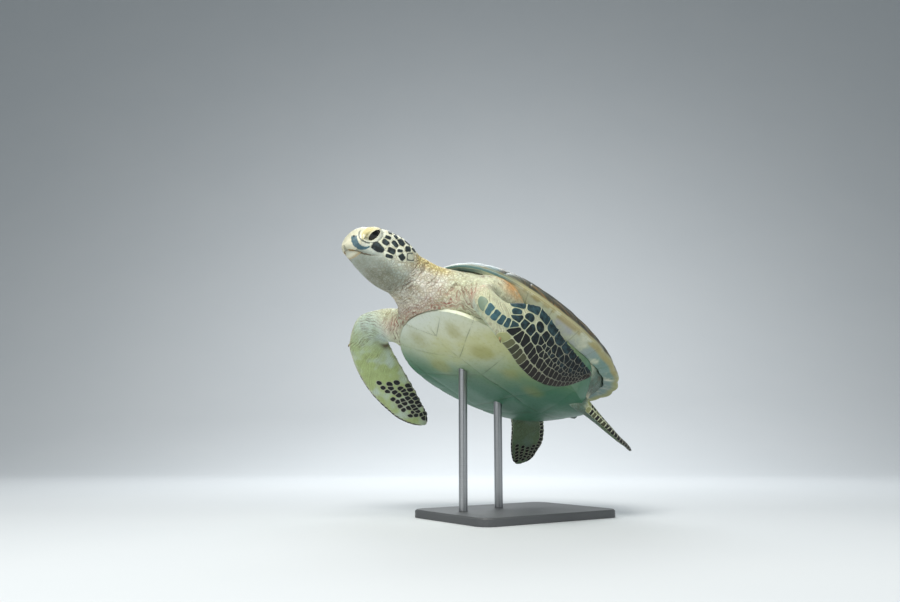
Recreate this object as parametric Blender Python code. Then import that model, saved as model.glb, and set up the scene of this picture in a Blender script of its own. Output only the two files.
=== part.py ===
"""Green sea turtle, life-size museum model of a young animal swimming upwards, on a plain display stand.

Metres, +Z up. The head points along -Y and the animal's left side is +X. The origin is the middle of the
underside of the stand base. Shapes are tabulated for a level animal, in shell units (forward, left, up),
and then pitched, banked and lifted onto the stand by one pose matrix.
"""
import bpy
import bmesh
import numpy as np
from math import pi, radians
from mathutils import Matrix, Vector

# ---------------------------------------------------------------- driving dimensions (metres, degrees)
SHELL_LENGTH = 0.50
RIM_FRONT = 0.45
RIM_REAR = 0.49
UNIT = SHELL_LENGTH / (RIM_FRONT + RIM_REAR)
GAP = 0.0004
NOSE_UP = 27.0
LEFT_SIDE_UP = 6.0
SHELL_HEIGHT_ABOVE_FLOOR = 0.37

# ---------------------------------------------------------------- shell, in units of UNIT
RIM_HALF_WIDTH = 0.387
RIM_FRONT_ROUNDING = 0.86
RIM_SIDE_ROUNDING = 0.85
RIM_FRONT_FLARE = 0.06
RIM_FRONT_RISE = 0.055
RIM_SIDE_DROP = 0.030
RIM_THICKNESS = 0.011
RIM_EDGE_SHARE = 0.996
LIP_SHARE = 0.87
LIP_DROP = 0.036
DOME_HEIGHT = 0.172
DOME_CENTRE = 0.03
DOME_FRONT_FALL = 0.15
DOME_STEEPENING = 2.2
DOME_ROUNDING = 0.75
DOME_THICKNESS = 0.020
DOME_WALL_SHARE = 0.82
SERRATION = 0.016
MARGINALS_PER_SIDE = 12
PLASTRON_FRONT = 0.44
PLASTRON_REAR = -0.39
PLASTRON_HALF_WIDTH = 0.328
PLASTRON_SIDE_ROUNDING = 0.9
PLASTRON_FRONT_FLARE = 0.16
PLASTRON_DEPTH = 0.212
PLASTRON_SIDE_SHARE = 0.95
PLASTRON_END_SHARE = 0.69
PLASTRON_THICKNESS = 0.012
PLASTRON_EDGE_RISE = 0.07
FLANK_OUTSET = 0.006
FLANK_DROP = 0.0015
BRIDGE_FRONT = 52.0
BRIDGE_REAR = 122.0
BRIDGE_BLEND = 12.0
TRUNK_CLEARANCE = 4.0
TRUNK_WALL_INSET = 0.012

# ---------------------------------------------------------------- mesh fineness
SHELL_SPOKES = 72
PLASTRON_SPOKES = 44
TRUNK_SPOKES = 40
CARAPACE_RINGS = (0.2, 0.4, 0.58, 0.74, 0.86, 0.94, 1.0)
CARAPACE_INNER_RINGS = (0.6, 0.3)
TRUNK_TOP_RINGS = (0.25, 0.6)
BELLY_RINGS = (0.9, 0.7, 0.35)

# ---------------------------------------------------------------- head, neck and tail sections
# forward, middle height, half width, half height, squareness
NECK_SECTIONS = (
    (0.240, -0.058, 0.235, 0.098, 2.3),
    (0.320, -0.062, 0.270, 0.110, 2.3),
    (0.385, -0.062, 0.258, 0.108, 2.3),
    (0.435, -0.058, 0.205, 0.100, 2.2),
    (0.485, -0.055, 0.142, 0.095, 2.1),
    (0.540, -0.049, 0.104, 0.096, 2.0),
    (0.600, -0.046, 0.086, 0.084, 2.0),
)
# forward, top, bottom, half width, squareness
HEAD_SECTIONS = (
    (0.562, 0.040, -0.132, 0.090, 2.1),
    (0.590, 0.048, -0.137, 0.098, 2.2),
    (0.625, 0.052, -0.139, 0.103, 2.3),
    (0.665, 0.052, -0.136, 0.103, 2.4),
    (0.705, 0.047, -0.130, 0.098, 2.4),
    (0.745, 0.036, -0.122, 0.089, 2.4),
    (0.775, 0.024, -0.117, 0.077, 2.3),
    (0.798, 0.007, -0.113, 0.067, 2.2),
    (0.814, -0.010, -0.109, 0.052, 2.1),
    (0.825, -0.027, -0.104, 0.037, 2.0),
    (0.830, -0.042, -0.098, 0.024, 2.0),
)
TAIL_SECTIONS = (
    (-0.260, -0.095, 0.120, 0.055, 2.2),
    (-0.330, -0.100, 0.100, 0.050, 2.2),
    (-0.372, -0.106, 0.060, 0.038, 2.0),
    (-0.402, -0.112, 0.032, 0.026, 2.0),
    (-0.428, -0.117, 0.017, 0.016, 2.0),
    (-0.438, -0.119, 0.006, 0.006, 2.0),
)
EYE_CENTRE = (0.764, 0.060, -0.024)
EYE_RADIUS = 0.029
MOUTH_FRONT = (0.90, -0.120)
MOUTH_CORNER = (0.745, -0.1025)
MOUTH_SLIT = 0.0008
BEAK_BACK = 0.800
LOWER_BEAK_BACK = 0.772
BEAK_FRONT = 0.90
BEAK_NOSTRIL = -0.060
BEAK_BROW = 0.835
BEAK_TOP = 0.05
BEAK_BOTTOM = -0.20

# ---------------------------------------------------------------- limbs
# trailing edge (forward, left, up), leading edge (forward, left, up), thickness
LEFT_FRONT_FLIPPER = (
    ((0.200, 0.170, -0.150), (0.300, 0.170, -0.030), 0.130),
    ((0.285, 0.270, -0.145), (0.385, 0.275, -0.060), 0.115),
    ((0.365, 0.355, -0.130), (0.445, 0.345, -0.185), 0.090),
    ((0.340, 0.385, -0.140), (0.410, 0.380, -0.240), 0.070),
    ((0.295, 0.405, -0.115), (0.350, 0.385, -0.270), 0.055),
    ((0.225, 0.420, -0.090), (0.275, 0.385, -0.290), 0.045),
    ((0.155, 0.420, -0.105), (0.205, 0.380, -0.315), 0.035),
    ((0.095, 0.420, -0.130), (0.140, 0.380, -0.325), 0.030),
    ((0.035, 0.420, -0.150), (0.065, 0.380, -0.310), 0.025),
    ((-0.020, 0.410, -0.155), (-0.010, 0.380, -0.270), 0.020),
    ((-0.070, 0.400, -0.160), (-0.070, 0.385, -0.215), 0.015),
    ((-0.110, 0.390, -0.160), (-0.110, 0.390, -0.175), 0.008),
)
RIGHT_FRONT_FLIPPER = (
    ((0.200, -0.160, -0.130), (0.290, -0.170, 0.000), 0.130),
    ((0.290, -0.250, -0.145), (0.370, -0.260, -0.010), 0.115),
    ((0.345, -0.320, -0.145), (0.445, -0.350, -0.030), 0.090),
    ((0.350, -0.360, -0.135), (0.490, -0.425, -0.080), 0.070),
    ((0.325, -0.385, -0.130), (0.455, -0.495, -0.160), 0.055),
    ((0.270, -0.395, -0.155), (0.395, -0.525, -0.210), 0.045),
    ((0.210, -0.405, -0.180), (0.320, -0.535, -0.260), 0.035),
    ((0.150, -0.410, -0.210), (0.240, -0.530, -0.300), 0.030),
    ((0.100, -0.410, -0.240), (0.160, -0.510, -0.330), 0.025),
    ((0.055, -0.410, -0.270), (0.100, -0.480, -0.350), 0.020),
    ((0.020, -0.410, -0.295), (0.040, -0.445, -0.350), 0.015),
    ((0.000, -0.415, -0.330), (0.010, -0.425, -0.340), 0.008),
)
LEFT_HIND_FLIPPER = (
    ((-0.160, 0.080, -0.100), (-0.170, 0.185, -0.155), 0.090),
    ((-0.235, 0.115, -0.110), (-0.225, 0.225, -0.195), 0.080),
    ((-0.310, 0.145, -0.135), (-0.265, 0.250, -0.215), 0.055),
    ((-0.375, 0.160, -0.160), (-0.315, 0.270, -0.235), 0.040),
    ((-0.435, 0.165, -0.180), (-0.370, 0.290, -0.255), 0.030),
    ((-0.490, 0.175, -0.190), (-0.430, 0.290, -0.265), 0.022),
    ((-0.530, 0.190, -0.200), (-0.480, 0.280, -0.262), 0.017),
    ((-0.550, 0.210, -0.218), (-0.520, 0.260, -0.255), 0.013),
    ((-0.555, 0.230, -0.232), (-0.545, 0.240, -0.244), 0.008),
)
RIGHT_HIND_FLIPPER = (
    ((-0.230, -0.100, -0.060), (-0.150, -0.140, -0.125), 0.095),
    ((-0.310, -0.150, -0.075), (-0.210, -0.210, -0.140), 0.080),
    ((-0.380, -0.185, -0.080), (-0.275, -0.250, -0.150), 0.060),
    ((-0.430, -0.205, -0.105), (-0.320, -0.270, -0.180), 0.042),
    ((-0.460, -0.210, -0.145), (-0.345, -0.280, -0.225), 0.032),
    ((-0.470, -0.215, -0.190), (-0.360, -0.285, -0.260), 0.026),
    ((-0.460, -0.220, -0.240), (-0.370, -0.275, -0.300), 0.021),
    ((-0.445, -0.225, -0.285), (-0.380, -0.265, -0.325), 0.016),
    ((-0.420, -0.235, -0.320), (-0.390, -0.250, -0.340), 0.008),
)
LIMB_SPAN_STEPS = 18
LIMB_RING_POINTS = 16
LEADING_EDGE_FULLNESS = 0.35
THINNEST_LIMB = 0.006
NECK_RING_POINTS = 20
HEAD_RING_POINTS = 26
EYE_SEGMENTS = 16
SHARP_ANGLE = 50.0
LARGEST_MITRE = 1.6

# ---------------------------------------------------------------- stand, metres
BASE_LENGTH = 0.36
BASE_WIDTH = 0.26
BASE_THICKNESS = 0.016
BASE_CORNER = 0.030
BASE_EDGE = 0.003
ROD_RADIUS = 0.009
ROD_FRONT = (0.150, -0.060)
ROD_REAR = (-0.100, -0.120)
ROD_SEGMENTS = 20

# ---------------------------------------------------------------- colours, linear
EYE_BLACK = (0.02, 0.02, 0.02)
STEEL = (0.16, 0.16, 0.17)


def clear_file():
    """Empty the scene and name the two collections."""
    for obj in list(bpy.data.objects):
        bpy.data.objects.remove(obj, do_unlink=True)
    for name in ("green_sea_turtle", "cutters"):
        bpy.context.scene.collection.children.link(bpy.data.collections.new(name))


def pose_matrix():
    """Level shell units (forward, left, up) to the posed animal in metres."""
    to_world = Matrix(((0.0, 1.0, 0.0, 0.0), (-1.0, 0.0, 0.0, 0.0), (0.0, 0.0, 1.0, 0.0), (0.0, 0.0, 0.0, 1.0)))
    bank = Matrix.Rotation(radians(-LEFT_SIDE_UP), 4, "Y")
    pitch = Matrix.Rotation(radians(-NOSE_UP), 4, "X")
    lift = Matrix.Translation((0.0, 0.0, SHELL_HEIGHT_ABOVE_FLOOR))
    return lift @ pitch @ bank @ to_world @ Matrix.Scale(UNIT, 4)


POSE = pose_matrix()


def smooth(x, low, high):
    """Rise from 0 at low to 1 at high with no corner at either end."""
    k = np.clip((x - low) / (high - low), 0.0, 1.0)
    return k * k * (3.0 - 2.0 * k)


def power(value, exponent):
    """Odd power: keeps the sign of the value."""
    return np.sign(value) * np.abs(value) ** exponent


def rim(th):
    """Edge of the carapace: forward, left, up at each angle round the shell, 0 at the nape."""
    c = np.cos(th)
    s = np.sin(th)
    reach = np.where(c > 0.0, RIM_FRONT, RIM_REAR)
    saw = 1.0 + SERRATION * smooth(-c, -0.35, 0.5) * (np.abs(np.cos(MARGINALS_PER_SIDE * th)) - 0.5)
    forward = reach * power(c, np.where(c > 0.0, RIM_FRONT_ROUNDING, 1.0)) * saw
    left = RIM_HALF_WIDTH * power(s, RIM_SIDE_ROUNDING) * (1.0 + RIM_FRONT_FLARE * c) * saw
    up = RIM_FRONT_RISE * np.maximum(c, 0.0) ** 2 - RIM_SIDE_DROP * s ** 2
    return np.stack((forward, left, up), -1)


def dome(u, th, sink=0.0):
    """Top of the carapace, u from 0 at the crown to 1 at the rim, sunk by a depth."""
    edge = rim(th)
    centre = np.array((DOME_CENTRE, 0.0, 0.0))
    point = centre * (1.0 - u) + edge * u
    height = DOME_HEIGHT * (1.0 - DOME_FRONT_FALL * np.maximum(np.cos(th), 0.0) * u * u)
    point[..., 2] = edge[..., 2] * u * u + height * (1.0 - u ** DOME_STEEPENING) ** DOME_ROUNDING - sink
    return point


def lip(th, share=LIP_SHARE):
    """Inner edge of the underside of the marginals."""
    edge = rim(th)
    point = edge * share
    point[..., 2] = edge[..., 2] - RIM_THICKNESS - LIP_DROP * np.sin(th) ** 2
    return point


def plastron_edge(th):
    """Outline of the plastron where it turns up into the sides."""
    c = np.cos(th)
    s = np.sin(th)
    middle = (PLASTRON_FRONT + PLASTRON_REAR) / 2.0
    half = (PLASTRON_FRONT - PLASTRON_REAR) / 2.0
    left = PLASTRON_HALF_WIDTH * power(s, PLASTRON_SIDE_ROUNDING) * (1.0 + PLASTRON_FRONT_FLARE * c)
    share = PLASTRON_SIDE_SHARE - (PLASTRON_SIDE_SHARE - PLASTRON_END_SHARE) * c ** 4
    up = -PLASTRON_DEPTH * share
    return np.stack((middle + half * c, left, up), -1)


def pulled_in(point, depth):
    """Move points towards the long axis of the body, level, by a depth."""
    flat = point.copy()
    flat[..., 2] = 0.0
    length = np.linalg.norm(flat, axis=-1, keepdims=True)
    return point - flat / length * depth


def side(th, s, depth):
    """Flank from the lip (s 0) down to the plastron edge (s 1), set inwards by a depth."""
    top = pulled_in(lip(th, LIP_SHARE + FLANK_OUTSET) - np.array((0.0, 0.0, FLANK_DROP)), depth)
    low = pulled_in(plastron_edge(th), depth) + np.array((0.0, 0.0, depth))
    s = np.asarray(s)[..., None]
    return top * (1.0 - s) + low * s


def belly(th, r, depth):
    """Plastron face from its edge (r 1) to the middle (r 0), raised by a depth."""
    edge = plastron_edge(th)
    point = pulled_in(edge, depth) * r
    point[..., 2] = -PLASTRON_DEPTH + depth + (edge[..., 2] + PLASTRON_DEPTH) * r ** 4
    return point


def material(name, colour, roughness):
    """A Principled material of its own."""
    made = bpy.data.materials.new(name)
    made.use_nodes = True
    shader = made.node_tree.nodes["Principled BSDF"]
    shader.inputs["Base Color"].default_value = (*colour, 1.0)
    shader.inputs["Roughness"].default_value = roughness
    return made


def add_mesh(name, points, faces, look=None, grow=0.0, posed=True):
    """Make one closed object: a node when it has a look, otherwise a cutter grown along its normals."""
    data = bpy.data.meshes.new(name)
    data.from_pydata([tuple(p) for p in points], [], faces)
    work = bmesh.new()
    work.from_mesh(data)
    bmesh.ops.remove_doubles(work, verts=work.verts[:], dist=1e-5)
    bmesh.ops.recalc_face_normals(work, faces=work.faces[:])
    if posed:
        work.transform(POSE)
    work.normal_update()
    if grow:
        shifts = [v.normal.copy() * grow * min(v.calc_shell_factor(), LARGEST_MITRE) for v in work.verts]
        for vert, shift in zip(work.verts, shifts):
            vert.co += shift
    work.to_mesh(data)
    work.free()
    return place(name, data, look)


def place(name, data, look):
    """Link a mesh as a node or as a cutter, smooth except along its sharp edges."""
    data.shade_smooth()
    data.set_sharp_from_angle(angle=radians(SHARP_ANGLE))
    obj = bpy.data.objects.new(name, data)
    if look is None:
        obj.hide_render = True
        obj.display_type = "WIRE"
        bpy.data.collections["cutters"].objects.link(obj)
    else:
        data.materials.append(material(name + "_material", *look))
        bpy.data.collections["green_sea_turtle"].objects.link(obj)
    return obj


def loft_faces(rows, points):
    """Quads between rings and a flat cap on each end ring."""
    faces = []
    for row in range(rows - 1):
        for k in range(points):
            a = row * points + k
            b = row * points + (k + 1) % points
            faces.append((a, b, b + points, a + points))
    faces.append(tuple(range(points)))
    faces.append(tuple(range((rows - 1) * points, rows * points)))
    return faces


def bowl_faces(rows, points):
    """Quads between rings and a fan at each pole; the two pole points follow the rings."""
    faces = loft_faces(rows, points)[:-2]
    first = rows * points
    for k in range(points):
        after = (k + 1) % points
        faces.append((first, after, k))
        faces.append((first + 1, (rows - 1) * points + k, (rows - 1) * points + after))
    return faces


def bowl(name, rings, first_pole, last_pole, look=None, grow=0.0):
    """A closed body of rings round the shell with a pole point at each end."""
    rings = np.array(rings)
    points = list(rings.reshape(-1, 3)) + [first_pole, last_pole]
    return add_mesh(name, points, bowl_faces(len(rings), rings.shape[1]), look, grow)


def spokes(count):
    """Angles round the shell."""
    return np.arange(count) * (2.0 * pi / count)


def carapace(name, look=None, grow=0.0):
    """Domed upper shell with an overhanging rim, hollow beneath."""
    th = spokes(SHELL_SPOKES)
    outer = [dome(u, th) for u in CARAPACE_RINGS]
    edge = rim(th) * RIM_EDGE_SHARE
    edge[:, 2] = rim(th)[:, 2] - RIM_THICKNESS * 0.8
    wall = dome(DOME_WALL_SHARE, th, DOME_THICKNESS)
    inner = [dome(u, th, DOME_THICKNESS) for u in CARAPACE_INNER_RINGS]
    rings = outer + [edge, lip(th), wall] + inner
    top = (DOME_CENTRE, 0.0, DOME_HEIGHT)
    under = (DOME_CENTRE, 0.0, DOME_HEIGHT - DOME_THICKNESS)
    return bowl(name, rings, top, under, look, grow)


def bridge_share(th):
    """How far the plastron climbs the flank: all the way at the bridge, a little elsewhere."""
    degrees = np.degrees(np.arccos(np.cos(th)))
    rise = smooth(degrees, BRIDGE_FRONT - BRIDGE_BLEND, BRIDGE_FRONT + BRIDGE_BLEND)
    fall = smooth(degrees, BRIDGE_REAR - BRIDGE_BLEND, BRIDGE_REAR + BRIDGE_BLEND)
    return PLASTRON_EDGE_RISE + (1.0 - PLASTRON_EDGE_RISE) * rise * (1.0 - fall)


def plastron(name, look=None, grow=0.0):
    """Lower shell: a thin bowl with a bridge up to the marginals on each side."""
    th = spokes(PLASTRON_SPOKES)
    share = bridge_share(th)
    outer = [side(th, 1.0 - share * k, 0.0) for k in (1.0, 0.5, 0.0)]
    outer += [belly(th, r, 0.0) for r in BELLY_RINGS]
    inner = [side(th, 1.0 - share * k, PLASTRON_THICKNESS) for k in (1.0, 0.5, 0.0)]
    inner += [belly(th, r, PLASTRON_THICKNESS) for r in BELLY_RINGS]
    rings = outer[::-1] + inner
    low = (0.0, 0.0, -PLASTRON_DEPTH)
    high = (0.0, 0.0, -PLASTRON_DEPTH + PLASTRON_THICKNESS)
    return bowl(name, rings, low, high, look, grow)


def trunk(name, look=None, grow=0.0):
    """Body inside the shell, a hair's breadth clear of both halves."""
    th = spokes(TRUNK_SPOKES)
    clear = GAP / UNIT * TRUNK_CLEARANCE
    depth = PLASTRON_THICKNESS + clear
    top = [dome(u, th, DOME_THICKNESS + clear) for u in TRUNK_TOP_RINGS]
    wall = pulled_in(dome(DOME_WALL_SHARE, th, DOME_THICKNESS + clear), TRUNK_WALL_INSET)
    flank = [side(th, np.full(TRUNK_SPOKES, s), depth) for s in (0.0, 0.5, 1.0)]
    under = [belly(th, r, depth) for r in BELLY_RINGS]
    rings = top + [wall] + flank + under
    high = (DOME_CENTRE, 0.0, DOME_HEIGHT - DOME_THICKNESS - clear)
    low = (0.0, 0.0, -PLASTRON_DEPTH + depth)
    return bowl(name, rings, high, low, look, grow)


def resample(table, steps):
    """Carry a table of station rows through a smooth curve and read it at even steps of length."""
    table = np.array(table, float)
    length = np.concatenate(((0.0,), np.cumsum(np.linalg.norm(np.diff(table[:, :3], axis=0), axis=1))))
    slope = np.gradient(table, length, axis=0)
    at = np.linspace(0.0, length[-1], steps)
    low = np.clip(np.searchsorted(length, at, side="right") - 1, 0, len(length) - 2)
    span = (length[low + 1] - length[low])[:, None]
    t = ((at - length[low])[:, None]) / span
    a = table[low]
    b = table[low + 1]
    start = 2 * t ** 3 - 3 * t ** 2 + 1
    rise = t ** 3 - 2 * t ** 2 + t
    fall = t ** 3 - t ** 2
    return start * a + rise * span * slope[low] + (1.0 - start) * b + fall * span * slope[low + 1]


def limb(name, table, look=None, grow=0.0):
    """A flipper: rings of an aerofoil section, thick at the leading edge, swept between its two edges."""
    stations = [(*((np.array(back) + front) / 2.0), *back, *front, deep) for back, front, deep in table]
    rows = resample(stations, LIMB_SPAN_STEPS)
    centre = rows[:, :3]
    half_chord = (rows[:, 6:9] - rows[:, 3:6]) / 2.0
    normal = np.cross(np.gradient(centre, axis=0), half_chord)
    normal /= np.linalg.norm(normal, axis=1, keepdims=True)
    turn = spokes(LIMB_RING_POINTS)
    across = np.cos(turn)[None, :, None]
    deep = (np.sin(turn) * (1.0 + LEADING_EDGE_FULLNESS * np.cos(turn)))[None, :, None]
    half_depth = np.maximum(rows[:, 9], THINNEST_LIMB)[:, None, None] / 2.0
    rings = centre[:, None] + half_chord[:, None] * across + normal[:, None] * deep * half_depth
    return add_mesh(name, rings.reshape(-1, 3), loft_faces(len(rows), LIMB_RING_POINTS), look, grow)


def sections_body(name, table, look=None, grow=0.0, ring=NECK_RING_POINTS):
    """Rings of rounded section square to the body axis."""
    turn = spokes(ring)
    rings = []
    for forward, middle, half_width, half_height, square in table:
        left = half_width * power(np.cos(turn), 2.0 / square)
        up = middle + half_height * power(np.sin(turn), 2.0 / square)
        rings.append(np.stack((np.full(ring, forward), left, up), -1))
    return add_mesh(name, np.concatenate(rings), loft_faces(len(table), ring), look, grow)


def head_body(name, look=None, grow=0.0):
    """Skull, cheeks and throat in one solid, blunt at the snout."""
    table = []
    for forward, top, bottom, half_width, square in HEAD_SECTIONS:
        table.append((forward, (top + bottom) / 2.0, half_width, (top - bottom) / 2.0, square))
    return sections_body(name, table, look, grow, HEAD_RING_POINTS)


def ball(name, centre, radius, look=None, grow=0.0):
    """A sphere, radius in metres after the pose."""
    work = bmesh.new()
    bmesh.ops.create_uvsphere(work, u_segments=EYE_SEGMENTS, v_segments=EYE_SEGMENTS // 2 + 2,
                              radius=radius * UNIT + grow)
    work.transform(Matrix.Translation(POSE @ Vector(centre)))
    data = bpy.data.meshes.new(name)
    work.to_mesh(data)
    work.free()
    return place(name, data, look)


def wedge(name, profile, half_width):
    """A cutter: a side-view outline (forward, up) carried across the head."""
    left = [(x, half_width, z) for x, z in profile]
    right = [(x, -half_width, z) for x, z in profile]
    return add_mesh(name, right + left, loft_faces(2, len(profile)))


def cut(obj, cutter, operation="DIFFERENCE"):
    """A live exact Boolean."""
    mod = obj.modifiers.new(cutter.name, "BOOLEAN")
    mod.operation = operation
    mod.solver = "EXACT"
    mod.object = cutter


def build_shell():
    """Carapace, plastron and the body between them, with grown copies for cutting the flesh."""
    makers = (("carapace", carapace, ((0.10, 0.11, 0.07), 0.45), GAP),
              ("plastron", plastron, ((0.72, 0.70, 0.48), 0.45), 1.25 * GAP),
              ("trunk", trunk, ((0.62, 0.60, 0.48), 0.60), 2.5 * GAP))
    cutters = []
    for name, maker, look, clearance in makers:
        maker(name, look)
        cutters.append(maker(name + "_clearance", None, clearance))
    return cutters


def mouth(forward, offset=0.0):
    """A point of the closed mouth line, or a little above or below it."""
    slope = (MOUTH_FRONT[1] - MOUTH_CORNER[1]) / (MOUTH_FRONT[0] - MOUTH_CORNER[0])
    return (forward, MOUTH_CORNER[1] + slope * (forward - MOUTH_CORNER[0]) + offset)


def upper_beak(clear):
    """Side view of the room of the upper beak, or of the beak itself with a clearance."""
    gape = MOUTH_SLIT if clear else -MOUTH_SLIT
    nostril = (BEAK_BACK + clear, BEAK_NOSTRIL - clear)
    brow = (BEAK_BROW + 2.0 * clear, BEAK_TOP)
    return [mouth(BEAK_BACK + clear, gape), mouth(BEAK_FRONT, gape), (BEAK_FRONT, BEAK_TOP), brow, nostril]


def lower_beak(clear):
    """Side view of the room of the lower beak, or of the beak itself with a clearance."""
    gape = -MOUTH_SLIT if clear else MOUTH_SLIT
    back = LOWER_BEAK_BACK + clear
    return [(back, BEAK_BOTTOM), (BEAK_FRONT, BEAK_BOTTOM), mouth(BEAK_FRONT, gape), mouth(back, gape)]


def build_head():
    """Head with eye sockets and a closed mouth line, horny beak parts, and two eyes."""
    skin = (0.50, 0.52, 0.42)
    horn = (0.66, 0.62, 0.48)
    head = head_body("head", (skin, 0.55))
    for sign, sided in ((1.0, "left"), (-1.0, "right")):
        centre = (EYE_CENTRE[0], sign * EYE_CENTRE[1], EYE_CENTRE[2])
        ball("eye_" + sided, centre, EYE_RADIUS, (EYE_BLACK, 0.15))
        cut(head, ball("eye_socket_" + sided, centre, EYE_RADIUS, None, GAP))
    cut(head, wedge("mouth_slit", [mouth(MOUTH_CORNER[0]), mouth(BEAK_FRONT, -MOUTH_SLIT),
                                   mouth(BEAK_FRONT, MOUTH_SLIT)], 0.20))
    for number, (name, outline) in enumerate((("beak_upper", upper_beak), ("beak_lower", lower_beak))):
        beak = head_body(name, (horn, 0.35))
        cut(beak, wedge(name + "_limit", outline(GAP / UNIT), 0.21 + 0.01 * number), "INTERSECT")
        cut(head, wedge(name + "_room", outline(0.0), 0.23 + 0.01 * number))


def build_flesh(shell_cutters):
    """Neck, tail and flippers, each trimmed clear of the shell, of the body and of one another."""
    skin = (0.55, 0.56, 0.44)
    neck = sections_body("neck", NECK_SECTIONS, (skin, 0.6))
    cut(neck, head_body("head_clearance", None, GAP))
    neck_room = sections_body("neck_clearance", NECK_SECTIONS, None, GAP)
    tail = sections_body("tail", TAIL_SECTIONS, (skin, 0.6))
    tail_room = sections_body("tail_clearance", TAIL_SECTIONS, None, GAP)
    limbs = (("flipper_front_left", LEFT_FRONT_FLIPPER, neck_room, (0.06, 0.07, 0.07)),
             ("flipper_front_right", RIGHT_FRONT_FLIPPER, neck_room, (0.52, 0.54, 0.30)),
             ("flipper_hind_left", LEFT_HIND_FLIPPER, tail_room, (0.45, 0.47, 0.38)),
             ("flipper_hind_right", RIGHT_HIND_FLIPPER, tail_room, (0.50, 0.52, 0.40)))
    soft = [neck, tail]
    for name, table, room, colour in limbs:
        made = limb(name, table, (colour, 0.5))
        cut(made, room)
        soft.append(made)
    for obj in soft:
        for cutter in shell_cutters:
            cut(obj, cutter)


def build_stand():
    """A flat base plate and two upright rods that end under the plastron."""
    work = bmesh.new()
    bmesh.ops.create_cube(work, size=1.0)
    work.transform(Matrix.Translation((0, 0, BASE_THICKNESS / 2))
                   @ Matrix.Diagonal((BASE_WIDTH, BASE_LENGTH, BASE_THICKNESS, 1.0)))
    upright = [e for e in work.edges if abs(e.verts[0].co.z - e.verts[1].co.z) > BASE_THICKNESS / 2]
    bmesh.ops.bevel(work, geom=upright, offset=BASE_CORNER, segments=5, profile=0.5, affect="EDGES")
    rim_edges = [e for e in work.edges if min(v.co.z for v in e.verts) > BASE_THICKNESS * 0.9]
    bmesh.ops.bevel(work, geom=rim_edges, offset=BASE_EDGE, segments=1, profile=0.5, affect="EDGES")
    data = bpy.data.meshes.new("stand_base")
    work.to_mesh(data)
    work.free()
    place("stand_base", data, (STEEL, 0.4))
    plastron_room = bpy.data.objects["plastron_clearance"]
    mid_wall = PLASTRON_THICKNESS * 0.5 - PLASTRON_DEPTH
    above = wedge("above_mid_wall", [(PLASTRON_REAR, mid_wall), (PLASTRON_FRONT, mid_wall),
                                     (PLASTRON_FRONT, 0.0), (PLASTRON_REAR, 0.0)], PLASTRON_HALF_WIDTH)
    for name, (forward, left) in (("stand_rod_front", ROD_FRONT), ("stand_rod_rear", ROD_REAR)):
        top = POSE @ Vector((forward, left, mid_wall + PLASTRON_THICKNESS))
        low = BASE_THICKNESS + GAP
        work = bmesh.new()
        bmesh.ops.create_cone(work, cap_ends=True, segments=ROD_SEGMENTS, radius1=ROD_RADIUS, radius2=ROD_RADIUS,
                              depth=top.z - low)
        work.transform(Matrix.Translation((top.x, top.y, (top.z + low) / 2)))
        data = bpy.data.meshes.new(name)
        work.to_mesh(data)
        work.free()
        rod = place(name, data, (STEEL, 0.4))
        cut(rod, above)
        cut(rod, plastron_room)


clear_file()
build_flesh(build_shell())
build_head()
build_stand()
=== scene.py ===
"""Green sea turtle, life-size museum model on a plain display stand: pieces, materials, light and camera.

Points of the animal are written level, in shell units (forward, left, up), as the solids are, and then
pitched, banked and lifted onto the stand by one turn and one shift.
"""
from math import pi, radians
import bpy
import numpy as np
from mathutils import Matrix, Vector

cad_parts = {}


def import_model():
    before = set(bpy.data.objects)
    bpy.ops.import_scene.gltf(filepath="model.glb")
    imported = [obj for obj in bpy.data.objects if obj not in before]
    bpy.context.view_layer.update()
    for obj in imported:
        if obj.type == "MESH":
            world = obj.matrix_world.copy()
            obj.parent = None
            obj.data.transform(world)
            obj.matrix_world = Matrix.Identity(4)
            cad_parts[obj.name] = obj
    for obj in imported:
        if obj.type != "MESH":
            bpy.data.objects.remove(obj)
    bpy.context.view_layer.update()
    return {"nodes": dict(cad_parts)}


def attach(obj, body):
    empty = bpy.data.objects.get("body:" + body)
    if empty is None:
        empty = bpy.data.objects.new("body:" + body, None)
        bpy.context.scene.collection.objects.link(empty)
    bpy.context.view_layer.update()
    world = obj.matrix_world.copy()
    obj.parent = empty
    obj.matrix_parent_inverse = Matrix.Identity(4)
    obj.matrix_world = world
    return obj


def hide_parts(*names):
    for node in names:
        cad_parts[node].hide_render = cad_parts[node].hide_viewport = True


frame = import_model()

# ---- driving dimensions, as in the solids
UNIT = 0.5 / 0.94
NOSE_UP = 27.0
LEFT_SIDE_UP = 6.0
LIFT = np.array((0.0, 0.0, 0.37))
RIM_FRONT, RIM_REAR, RIM_HALF_WIDTH = 0.45, 0.49, 0.387
RIM_FRONT_RISE, RIM_SIDE_DROP, RIM_THICKNESS = 0.055, 0.03, 0.011
LIP_SHARE, LIP_DROP, LIP_START = 0.87, 0.036, 0.992
DOME_HEIGHT, DOME_CENTRE, DOME_FRONT_FALL = 0.172, 0.03, 0.15
DOME_THICKNESS, DOME_WALL_SHARE = 0.02, 0.82
RIM_FRONT_ROUNDING, RIM_SIDE_ROUNDING, RIM_EGG = 0.86, 0.85, 0.06
DOME_ROUNDING, DOME_FULLNESS = 2.2, 0.75
SERRATION, MARGINALS_PER_SIDE, MARGINAL_WIDTH = 0.016, 12, 0.115
PLASTRON_FRONT, PLASTRON_REAR, PLASTRON_HALF_WIDTH = 0.44, -0.39, 0.328
PLASTRON_MIDDLE = (PLASTRON_FRONT + PLASTRON_REAR) / 2.0
PLASTRON_HALF_LENGTH = (PLASTRON_FRONT - PLASTRON_REAR) / 2.0
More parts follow.
